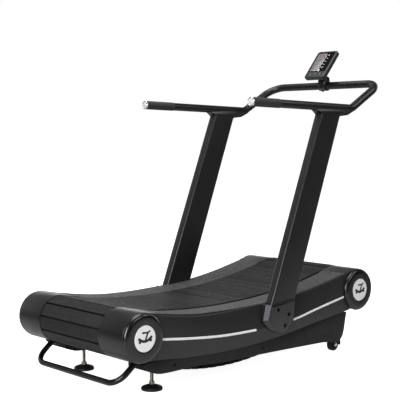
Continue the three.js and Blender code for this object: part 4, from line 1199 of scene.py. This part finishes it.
def make_bracket_bolts():
    backing = [(82, 322), (190, 292), (191, 262), (166, 208), (134, 208), (82, 290)]
    bolts = plate(round_poly(backing, 8, 4), 343.5, 349.6)
    for x, z in SHOE_BOLTS:
        bolts.join(
            spin([(0, 346), (4.2, 346), (5, 347), (5, 417), (8.6, 417.6), (8.8, 418.4),
                  (8.8, 421.8), (8.2, 423.2), (7.0, 423.8), (5.6, 423.9)], x, z, 36),
            # rim and hexagon socket
            spin([(5.6, 423.9), (4.6, 423.6)], x, z, 36),
            spin([(4.6, 423.6), (4.5, 419.6), (0, 419.4)], x, z, 6))
    pair("*_upright_bolts_set", bolts, "bolt", "zinc", "*_upright_bolts", angle=35)


make_posts()
make_brackets()
make_bracket_bolts()

# ---------------------------------------------------------------- console
# the panel's lower front edge, and unit vectors up its face and out of it to the runner
PANEL_ORIGIN = np.array([835.0, 0.0, 1481.9])
PANEL_UP = np.array([0.64279, 0.0, 0.76604])
PANEL_OUT = np.array([-0.76604, 0.0, 0.64279])
PANEL_WIDTH, PANEL_HEIGHT, PANEL_THICK = 145.0, 202.0, 28.0
BUTTON_UP = 24
# (name, body, place across the panel)
BUTTONS = (("left_console_button", "left_button", 35),
           ("middle_console_button", "middle_button", 0),
           ("right_console_button", "right_button", -35))


def panel_point(across, up, depth):
    return tuple(PANEL_ORIGIN + np.array(ACROSS) * across + PANEL_UP * up - PANEL_OUT * depth)


def panel_xz(up, depth):
    x, _, z = panel_point(0, up, depth)
    return (x, z)


def panel_prism(outline, levels):
    """An (across, up) outline carried through (depth, inset) levels behind the face."""
    return rings([[panel_point(across, up, depth) for across, up in inset(outline, shrink)]
                  for depth, shrink in levels])


def console_piece(name, shape, mats, slot, node=None, body="console", angle=30, **options):
    piece(name, shape, mats, slot, node, body, angle, **options)


PIVOT = panel_xz(75, PANEL_THICK + 14)


def make_housing():
    outline = rect(-PANEL_WIDTH / 2, PANEL_WIDTH / 2, 0, PANEL_HEIGHT, 15, 10)
    shell = panel_prism(outline, [
        (28, 8.5), (27.6, 6.6), (26.3, 4.2), (24.2, 2.0), (21.5, 0.6), (18.5, 0.0), (14.6, 0.0),
        (14.2, 0.5), (13.6, 0.5), (13.2, 0.0), (5.0, 0.0), (2.8, 0.5), (1.2, 1.6), (0.3, 3.2),
        (0.0, 5.0)])
    # window recess, button holes, battery door recess
    cuts = [panel_prism(rect(-61.5, 61.5, 45.0, 191.5, 7, 6), [(-1, 0), (2.7, 0)])]
    cuts += [panel_prism(circle(across, BUTTON_UP, 8.6, 28), [(-1, 0), (5, 0)])
             for _, _, across in BUTTONS]
    cuts.append(panel_prism(rect(-34, 34, 108, 172, 6, 5), [(27.3, 0), (30, 0)]))
    console_piece("console_housing_shell", shell, "cover", "cover", "console_housing", cuts=cuts)
    door = panel_prism(rect(-33.2, 33.2, 108.8, 171.2, 5.4, 5),
                       [(26.6, 0), (27.6, 0), (28.0, 0.5)])
    console_piece("console_battery_door", door, "cap", "cover")
    ribs = Shape()
    for i in range(5):
        ribs.join(panel_prism(rect(-16, 16, 159 - i * 3.2, 160.4 - i * 3.2, 0.6, 2),
                              [(27.8, 0), (28.3, 0.1), (28.5, 0.4)]))
    console_piece("console_battery_door_ribs", ribs, "cap", "cover")


def make_hinge_ears():
    # (up, depth behind the back face)
    outline = [panel_xz(up, PANEL_THICK + depth) for up, depth in (
        (62, -2), (88, -2), (86, 14), (82, 23), (75, 26), (68, 23), (64, 14))]
    outline = round_poly(outline, [0, 0, 8, 10, 12, 10, 8], 4)
    ears = Shape().join(plate(outline, 14, 20, 1.0), plate(outline, -20, -14, 1.0))
    ears.join(spin(mirror_second([(0, -20.6), (4.6, -20.6), (5.6, -20.2), (5.6, -19.9),
                                  (4.0, -19.6)]), *PIVOT, 32, mat=1))
    console_piece("console_hinge_ears", ears, "cover bolt", "cover")


def lcd_digits():
    """Four rows of zeros, parted by lines."""
    width, line = 8.0, 1.5
    bars = []
    for up, height in ((160, 15), (128, 19), (92, 15), (62, 15)):
        for k in range(4):
            side = 50 - k * 12.5
            top, middle = up + height, up + height / 2
            bars += [(side - width, side, top - line, top), (side - width, side, up, up + line)]
            bars += [(edge, edge + line, low, high) for edge in (side - line, side - width)
                     for low, high in ((up + line + 0.5, middle - 0.5),
                                       (middle + 0.5, top - line - 0.5))]
    bars += [(3, 54, up, up + 0.8) for up in (153, 120, 84)]
    return Shape().join(*(panel_prism(rect(*bar), [(0.22, 0), (0.1, 0)]) for bar in bars))


def make_window():
    """Tinted lens, display film on the runner's left, and to its right a painted highlight streak
    with its glint and printed tick marks.
    """
    lens = panel_prism(rect(-60.9, 60.9, 45.6, 190.9, 6.4, 6),
                       [(2.6, 0.2), (2.3, 0), (0.9, 0), (0.55, 0.35), (0.45, 0.9)])
    console_piece("console_window", lens, "lens", "screen", "console_screen")
    lcd = panel_prism(rect(0, 56.5, 51, 184, 2.5, 4), [(0.5, 0), (0.3, 0), (0.2, 0.2)])
    console_piece("console_lcd", lcd, "lcd", "screen")
    console_piece("console_lcd_digits", lcd_digits(), "lcd_dark", "screen")
    # (across from, to, up from, to, corner radius)
    # the first two are painted highlight: a white streak down the window and a glint at its foot;
    # the rest are printed ticks
    marks = [(-7.2, -5.2, 62, 182, 0.9), (-13, -3, 48.5, 61, 3)]
    marks += [(-30, -16, up, up + 2.2, 0.9) for up in (170, 146, 122, 98, 76)]
    shape = Shape().join(*(panel_prism(rect(*mark, 3), [(0.5, 0), (0.3, 0), (0.22, 0.12)])
                           for mark in marks))
    console_piece("console_glint_and_marks", shape, "mark", "white")


def make_buttons():
    for node, body, across in BUTTONS:
        cap = panel_prism(circle(across, BUTTON_UP, 7.9, 40),
                          [(3.2, 0), (-0.9, 0), (-1.5, 0.3), (-1.9, 0.9), (-2.0, 1.6)])
        cap.join(panel_prism(circle(across, BUTTON_UP, 2.2, 20),
                             [(-1.9, 0), (-2.25, 0.1), (-2.4, 0.7)]))
        console_piece(f"{node}_cap", cap, "button", "button", node, body, angle=35)
        bezel = lathe([(8.75, 0.6), (10.6, 0.6), (10.6, -0.25), (10.3, -0.5), (9.1, -0.5),
                       (8.75, -0.25)], panel_point(across, BUTTON_UP, 0), -PANEL_OUT, 48,
                      closed=True)
        console_piece(f"{node}_bezel", bezel, "cap", "cap", angle=35)


def make_console_clamp():
    """Ring round the bar, block, neck, knuckle at the pivot, and a screw underneath."""
    bar_x, bar_z = BAR
    pivot_x, pivot_z = PIVOT
    clamp = spin(mirror_second([(21.5, -26), (27.0, -26), (27.8, -25.6), (28.2, -24.6),
                                (28.2, -1.2), (27.5, -0.6)]), bar_x, bar_z, 64, closed=True)
    block = round_poly([(902, 1444), (958, 1444), (950, 1482), (940, 1490), (906, 1490)],
                       [2, 2, 6, 8, 4], 5)
    clamp.join(prism(block, mirror_first([(-24, 2.5), (-23.4, 1.0), (-22, 0.1)])))
    neck = round_poly([(905, 1480), (938, 1480), (931, 1506), (pivot_x + 8, pivot_z + 5),
                       (pivot_x - 8, pivot_z + 5), (907, 1500)], [2, 2, 6, 3, 3, 6], 5)
    clamp.join(prism(neck, mirror_first([(-13.5, 1.2), (-12.8, 0.3), (-12, 0)])))
    clamp.join(spin(mirror_second([(4.6, -13.5), (9.8, -13.5), (10.5, -12.8)]),
                    pivot_x, pivot_z, 48, closed=True))
    clamp.join(lathe([(0, -33), (4.4, -33), (6.0, -32), (6.5, -30.4), (6.5, -26), (0, -26)],
                     (bar_x, 8, bar_z), UP, 32))
    piece("console_clamp_bracket", clamp, "shoe", "shoe", "console_clamp", angle=30)


make_housing()
make_hinge_ears()
make_window()
make_buttons()
make_console_clamp()


# ---------------------------------------------------------------- lift bar
def make_lift_bar():
    radius, collar_y = 13.5, 321
    corners = both_sides([(-690.5, collar_y, 155), (-716, collar_y, 155.5), (-817, 318, 73.5)])
    path = rounded_path(corners, [0, 30, 70, 70, 30, 0], step=3)
    piece("lift_bar_tube", tube(path, lambda distance: radius, 40, end_round=1.5), "lift",
          "frame_black", "lift_bar", angle=40)
    collars = Shape()
    for y in (collar_y, -collar_y):
        collars.join(lathe([(13.6, -1), (18.0, -1), (18.5, -0.3), (18.5, 3.2), (17.7, 4.0),
                            (15.4, 4.4), (13.6, 6.4)], (-697, y, 155.1), (-1, 0, 0), 40,
                           closed=True))
    piece("lift_bar_collars", collars, "frame", "frame_black", angle=35)


make_lift_bar()

# ---------------------------------------------------------------- feet
FOOT_X, FOOT_Y = -572.0, 262.0
# boot as (radius, z), and the points of one ridge as (radius, share of half width, z)
BOOT_PROFILE = [
    (0, 0.6), (20, 0.6), (22, 0), (46.5, 0), (48.7, 0.8), (49.5, 2.6), (49.5, 9.8), (49.0, 11.6),
    (47.4, 13.2), (43.5, 14.8), (36, 17.4), (27.5, 20.6), (20.5, 23.6), (18.6, 24.9),
    (16.8, 25.6), (9.4, 25.8), (9.2, 9), (0, 8.6)]
RIDGE = [(46.0, 1, 12.2), (24.5, 0.7, 20.4), (24.5, 0.5, 23.0), (36, 0.6, 18.6),
         (45.0, 0.6, 15.4), (48.9, 0.6, 11.4)]


def threaded_rod(bottom, top, radius, pitch, depth):
    """Helical thread that fades out at both ends."""
    count = int((top - bottom) / pitch * 5)
    segments = 28
    stack = []
    for i in range(count + 1):
        z = bottom + (top - bottom) * i / count
        fade = min(1.0, (z - bottom) / pitch, (top - z) / pitch)
        ring = []
        for k in range(segments):
            angle = 2 * math.pi * k / segments
            groove = abs((z / pitch - k / segments) % 1.0 - 0.5) * 2
            reach = radius - depth * groove * fade - 0.4 * (1 - fade)
            ring.append((FOOT_X + reach * math.cos(angle), FOOT_Y + reach * math.sin(angle), z))
        stack.append(ring)
    return rings(stack)


def hex_nut(bottom, top, radius):
    height = top - bottom
    stack = []
    for z, share in ((bottom, 0.90), (bottom + 0.12 * height, 1.0), (top - 0.12 * height, 1.0),
                     (top, 0.90)):
        ring = []
        for i in range(36):
            turn = 2 * math.pi * i / 36
            from_flat = turn % (math.pi / 3) - math.pi / 6
            flat = radius * math.cos(math.pi / 6) / math.cos(from_flat)
            x, y = turned(min(flat, radius * share), 0, 0.3 + turn)
            ring.append((FOOT_X + x, FOOT_Y + y, z))
        stack.append(ring)
    return rings(stack)


def make_feet():
    origin = (FOOT_X, FOOT_Y, 0)
    stem = threaded_rod(bottom=36, top=171, radius=8.5, pitch=2.6, depth=1.0)
    stem.join(lathe([(0, 9), (6.8, 9), (8.2, 10), (8.5, 12), (8.5, 30), (0, 30)], origin, UP, 36))
    stem.join(hex_nut(bottom=26.8, top=38.4, radius=14))
    stem.join(lathe([(0, 25.9), (13.6, 25.9), (14.6, 26.2), (14.6, 26.9), (13.6, 27.2),
                     (0, 27.2)], origin, UP, 44))
    pair("*_foot_stem_screw", stem, "zinc", "zinc", "*_foot_stem", "*_foot", angle=38)
    boot = lathe(BOOT_PROFILE, origin, UP, 72)
    for i in range(24):
        stack = []
        for half in (-1.7, 1.7):
            ring = []
            for radius, share, z in RIDGE:
                x, y = turned(radius, half * share, 2 * math.pi * i / 24)
                ring.append((FOOT_X + x, FOOT_Y + y, z))
            stack.append(ring)
        boot.join(rings(stack))
    pair("*_foot_pad_boot", boot, "rubber", "rubber_black", "*_foot_pad", "*_foot", angle=38)


make_feet()

# ---------------------------------------------------------------- transport wheels
WHEEL_X, WHEEL_Y, WHEEL_Z = 664.0, 300.0, 35.0
# inner half of the tyre as (radius, distance from the middle plane)
TYRE_HALF = [
    (5.6, -13.5), (11, -13.5), (12, -12.7), (12.4, -10.1), (13.2, -9.3), (24.5, -9.3),
    (25.6, -10.3), (26.2, -12.8), (27.2, -13.5), (31.0, -13.5), (33.0, -12.8), (34.4, -11.2),
    (35, -8.9), (35, -1.6), (34.3, -0.9)]
# fork cheek outline (x, z) and corner radii
FORK = [(556, 70), (614, 70), (650, 66), (706, 60), (706, 28), (701.5, 28), (699, 49), (676, 45),
        (676, 29), (664, 23), (651, 29), (641, 45), (600, 56), (556, 62)]
FORK_RADII = [2, 20, 30, 8, 2, 2, 4, 8, 10, 12, 10, 8, 30, 2]


def make_wheels():
    tyre = lathe(mirror_second(TYRE_HALF), (WHEEL_X, WHEEL_Y, WHEEL_Z), ACROSS, 72, closed=True)
    for i in range(6):
        spoke = [turned(along, aside, 2 * math.pi * i / 6)
                 for along, aside in ((12.0, -2.0), (26.0, -1.5), (26.0, 1.5), (12.0, 2.0))]
        spoke = [(WHEEL_X + x, WHEEL_Z + z) for x, z in spoke]
        tyre.join(plate(spoke, 287.4, 291.1, 0.4), plate(spoke, 308.9, 312.6, 0.4))
    pair("*_transport_wheel_tyre", tyre, "rubber", "rubber_black", "*_transport_wheel",
         "*_wheel", angle=34)

    cheek = round_poly(FORK, FORK_RADII, 5)
    fork = plate(cheek, 280, 284.8, 0.9)
    fork.join(plate(cheek, 315.2, 320, 0.9),
              box(701.5, 706, 280.5, 319.5, 28, 60, mat=1),
              plate([(556, 74.6), (614, 71.8), (614, 66), (556, 68)], 272, 328),
              disc(WHEEL_X, WHEEL_Z, 5, 277, 323, 32))
    # hexagon heads from y to y, and the face their washers sit on
    for y0, y1, seat in ((319.8, 325, 319.8), (275, 280.2, 280.2)):
        fork.join(plate(circle(WHEEL_X, WHEEL_Z, 9, 6), y0, y1, 0.9, mat=1),
                  lathe([(0, -0.6), (10.6, -0.6), (10.8, 0), (10.6, 0.6), (0, 0.6)],
                        (WHEEL_X, seat, WHEEL_Z), ACROSS, 36, mat=1))
    pair("*_wheel_bracket_fork", fork, "frame chrome", "zinc", "*_wheel_bracket")


make_wheels()

# ---------------------------------------------------------------- drums, bearings, tracks
# left-right halves as (radius, y)
DRUM_HALF = [(84, -215), (88.6, -215), (89.7, -214.4), (DRUM_RADIUS, -213.2),
             (DRUM_RADIUS, -150), (89.8, -149.4), (89.8, -148.6), (DRUM_RADIUS, -148)]
AXLE_HALF = [(0, -276), (10.8, -276), (12.5, -274.4), (12.5, -247), (12.2, -246.6),
             (12.2, -245.4), (12.5, -245)]
BEARING_Y = 243.4
# (radius, distance out from BEARING_Y)
BEARING_PROFILE = [(13.1, 0.5), (33, 0.5), (34, 11), (33.4, 20), (31.6, 24.4), (29.4, 26),
                   (24.6, 27), (23.8, 25.8), (18.6, 25.8), (18.0, 27), (13.1, 27)]
ROLLER_PROFILE = [
    (0, 190.2), (6, 190.2), (6.4, 191.4), (11.4, 191.4), (12.3, 192.2), (12.5, 193.2),
    (12.5, 206.8), (12.3, 207.8), (11.4, 208.6), (7.6, 208.6), (7.2, 207.6), (4.4, 207.6),
    (4.2, 209.6), (3.6, 210), (0, 210)]


def make_drum(end, x, z):
    drum = spin(mirror_second(DRUM_HALF), x, z, 96, closed=True)
    # end webs: hub from low to high, web from web_low for 8 mm
    for low, high, web_low in ((196, 213, 196), (-213, -196, -204)):
        web0, web1 = web_low + 0.6, web_low + 7.4
        drum.join(spin([(13.0, low), (22, low), (23.5, web0), (84.4, web0), (84.4, web1),
                        (23.5, web1), (22, high), (13.0, high)], x, z, 72, closed=True))
    holes = [disc(hole_x, hole_z, 17, y0, y1, 32)
             for hole_x, hole_z in circle(x, z, 52, 3, math.pi / 2)
             for y0, y1 in ((190, 209), (-209, -190))]
    body = f"{end}_roller"
    piece(f"{end}_drum_shell", drum, "drum", "drum", f"{end}_drum", body, cuts=holes)
    piece(f"{end}_axle_shaft", spin(mirror_second(AXLE_HALF), x, z, 48), "axle", "axle",
          f"{end}_axle", body)


def make_bearings(end, x, z):
    y = BEARING_Y
    unit_shape = prism(rect(x - 48, x + 48, z - 48, z + 48, 16, 7),
                       [(y, 0), (y + 9.2, 0), (y + 10.4, 0.5), (y + 11, 1.6)])
    unit_shape.join(lathe(BEARING_PROFILE, (x, y, z), ACROSS, 64, closed=True))
    for bolt_x, bolt_z in rect(x - 36, x + 36, z - 36, z + 36):
        unit_shape.join(disc(bolt_x, bolt_z, 8.6, y + 10.6, y + 12.2, 28),
                        plate(circle(bolt_x, bolt_z, 7.5, 6), y + 12, y + 17.5))
    pair(f"{end}_*_bearing_unit", unit_shape, "bearing", "bearing", f"{end}_*_bearing")


def make_tracks():
    """Curved rails with the rollers that carry the belt, on three brackets each."""
    stations = np.linspace(-640, 640, 61)
    band = [(x, tread_z(x) - 25) for x in stations]
    band += [(x, tread_z(x) - 68) for x in reversed(stations)]
    track = plate(band, 186, 190.5, 0.6)
    for x, z in ((-450, 250), (0, 232), (450, 282)):
        track.join(box(x - 20, x + 20, 168, 190, z + 0.4, z + 6, 0.6),
                   box(x - 20, x + 20, 186, 190.5, z + 0.4, tread_z(x) - 60, 0.5))
        for offset in (-11, 11):
            track.join(lathe([(0, 5.6), (6.4, 5.6), (6.4, 9.6), (5.4, 10.4), (0, 10.4)],
                             (x + offset, 177, z), UP, 6))
    # rollers lie below the slats, a carrier thickness, a gap and their own radius down
    depth = SLAT_HEIGHT + 5 + 0.7 + 12.5
    for i in range(13):
        x, z = below_tread(-612 + 1224 * i / 12, depth)
        track.join(spin(ROLLER_PROFILE, x, z, 40, mat=1))
    pair("*_bearing_rail_track", track, "frame axle", "bearing", "*_bearing_rail")


def make_crossmember(name, x, z):
    """Square tube with a bolted flange at each end; z is its underside."""
    end = 237.6
    outer = rect(x - 20, x + 20, z, z + 60, 6, 5)
    inner = inset(outer, 3)
    member = across_y([(0.2 - end, outer), (end - 0.2, outer), (end - 0.2, inner),
                       (0.2 - end, inner)], loop=True)
    rim = rect(x - 42, x + 42, z - 10, z + 70, 8, 5)
    edge = inset(rim, 0.7)
    hole = rect(x - 17, x + 17, z + 3, z + 57, 4, 5)
    for y0, y1, bolt0, bolt1 in ((end - 6, end, end - 11.5, end - 6.2),
                                 (-end, 6 - end, 6.2 - end, 11.5 - end)):
        member.join(across_y([(y0, edge), (y0 + 0.7, rim), (y1 - 0.7, rim), (y1, edge),
                              (y1, hole), (y0, hole)], loop=True))
        for across in (-32, 32):
            for up in (2, 58):
                member.join(plate(circle(x + across, z + up, 6.5, 6), bolt0, bolt1, 0.7))
    piece(f"{name}_tube", member, "frame", "frame_black", name)


for drum_end, drum_axis in (("front", FRONT_DRUM), ("rear", REAR_DRUM)):
    make_drum(drum_end, *drum_axis)
    make_bearings(drum_end, *drum_axis)
make_tracks()
make_crossmember("rear_crossmember", -450, 190)
make_crossmember("middle_crossmember", 0, 172)
make_crossmember("front_crossmember", 450, 222)

# ---------------------------------------------------------------- stage, in metres
# (name, place, point aimed at, width, height, watts)
LIGHTS = (
    ("overhead_softbox", (-0.3, 0.2, 3.6), (0, 0, 0.3), 2.4, 2.0, 95),
    ("left_strip", (-3.9, -1.5, 1.7), (-0.6, -0.2, 0.4), 1.6, 2.2, 136),
    ("front_fill", (0.6, -4.6, 3.4), (0, 0, 0.5), 2.0, 1.4, 42),
    ("side_softbox", (1.6, -1.9, 2.7), (-0.2, -0.4, 0.3), 1.1, 1.1, 14),
)


def floor_material():
    """Pale to the camera; other rays see it darken away from the machine."""
    m = Surface("floor_pale")
    camera = m.camera_ray()
    position = m.node("NewGeometry").outputs["Position"]
    far = m.node("VectorMath", {0: position}, operation="LENGTH").outputs["Value"]
    glow = m.remap(far, start=1.2, end=3.2, low=0.27, high=0.14)
    emission = m.node("Mix", {0: camera, 2: glow, 3: 0.93}, data_type="FLOAT").outputs[0]
    near_grey, far_grey = (0.5, 0.5, 0.5, 1), (0.12, 0.12, 0.12, 1)
    dim = m.mix(m.remap(far, start=1.4, end=3.4), near_grey, far_grey)
    pale_low, pale_high = (0.84, 0.84, 0.85, 1), (0.88, 0.88, 0.88, 1)
    pale = m.mix(m.remap(m.noise(scale=1.2, detail=4)), pale_low, pale_high)
    return m.finish(m.mix(camera, dim, pale), m.remap(m.noise(scale=30), low=0.65, high=0.8),
                    specular=0.2, Emission_Color=(1, 1, 1, 1), Emission_Strength=emission)


def make_floor():
    half, level = 40, -0.0006
    mesh = bpy.data.meshes.new("floor")
    mesh.from_pydata([(x, y, level) for x, y in rect(-half, half, -half, half)], [],
                     [(0, 1, 2, 3)])
    floor = bpy.data.objects.new("floor", mesh)
    bpy.context.scene.collection.objects.link(floor)
    mesh.materials.append(floor_material())


def make_world():
    """White to the camera; other rays see a bright backdrop low behind the machine."""
    world = bpy.data.worlds.new("studio")
    bpy.context.scene.world = world
    graph = Graph(world)
    way = graph.node("TexCoord").outputs["Generated"]

    def soft(value, **limits):
        return graph.remap(value, interpolation="SMOOTHSTEP", **limits)

    def towards(*direction):
        return graph.dot(way, Vector(direction).normalized())
    height = graph.node("SeparateXYZ", {0: way}).outputs["Z"]
    backdrop = graph.times(soft(towards(0.62, 0.78, 0.0), start=0.25, end=0.85),
                           soft(height, start=0.10, end=0.50, low=1.0, high=0.10))
    glow = soft(towards(-0.40, 0.72, 0.57), start=0.80, end=0.97, high=0.30)
    backdrop_gain, ambient = 1.55, 0.05
    level = graph.math("ADD", graph.times(backdrop, backdrop_gain),
                       graph.math("ADD", glow, ambient))
    studio = graph.node("Background", {"Color": level, "Strength": 1.0}).outputs[0]
    plain = graph.node("Background", {"Color": (1, 1, 1, 1), "Strength": 1.0}).outputs[0]
    mix = graph.node("MixShader", {0: graph.camera_ray(), 1: studio, 2: plain}).outputs[0]
    graph.node("OutputWorld", {"Surface": mix})


def make_lights():
    for name, place, target, width, height, watts in LIGHTS:
        light = bpy.data.lights.new(name, "AREA")
        light.shape = "RECTANGLE"
        light.size, light.size_y = width, height
        light.energy = watts
        ob = bpy.data.objects.new(name, light)
        ob.location = place
        aim = Vector(target) - Vector(place)
        ob.rotation_euler = aim.to_track_quat("-Z", "Y").to_euler()
        bpy.context.scene.collection.objects.link(ob)


def make_camera():
    scene = bpy.context.scene
    lens = bpy.data.cameras.new("camera")
    camera = bpy.data.objects.new("camera", lens)
    camera.location = ((-3388.6 + MID_X) / 1000, -3.6469, 1.1685)
    camera.rotation_euler = (math.radians(86.09), 0, math.radians(-42.63))
    lens.sensor_width = 36
    lens.lens = 87.99
    lens.clip_start, lens.clip_end = 0.05, 200
    scene.collection.objects.link(camera)
    scene.camera = camera
    scene.view_settings.view_transform = "Standard"
    scene.view_settings.look = "None"
    scene.view_settings.exposure = 0.0
    scene.view_settings.gamma = 1.0


make_floor()
make_world()
make_lights()
make_camera()
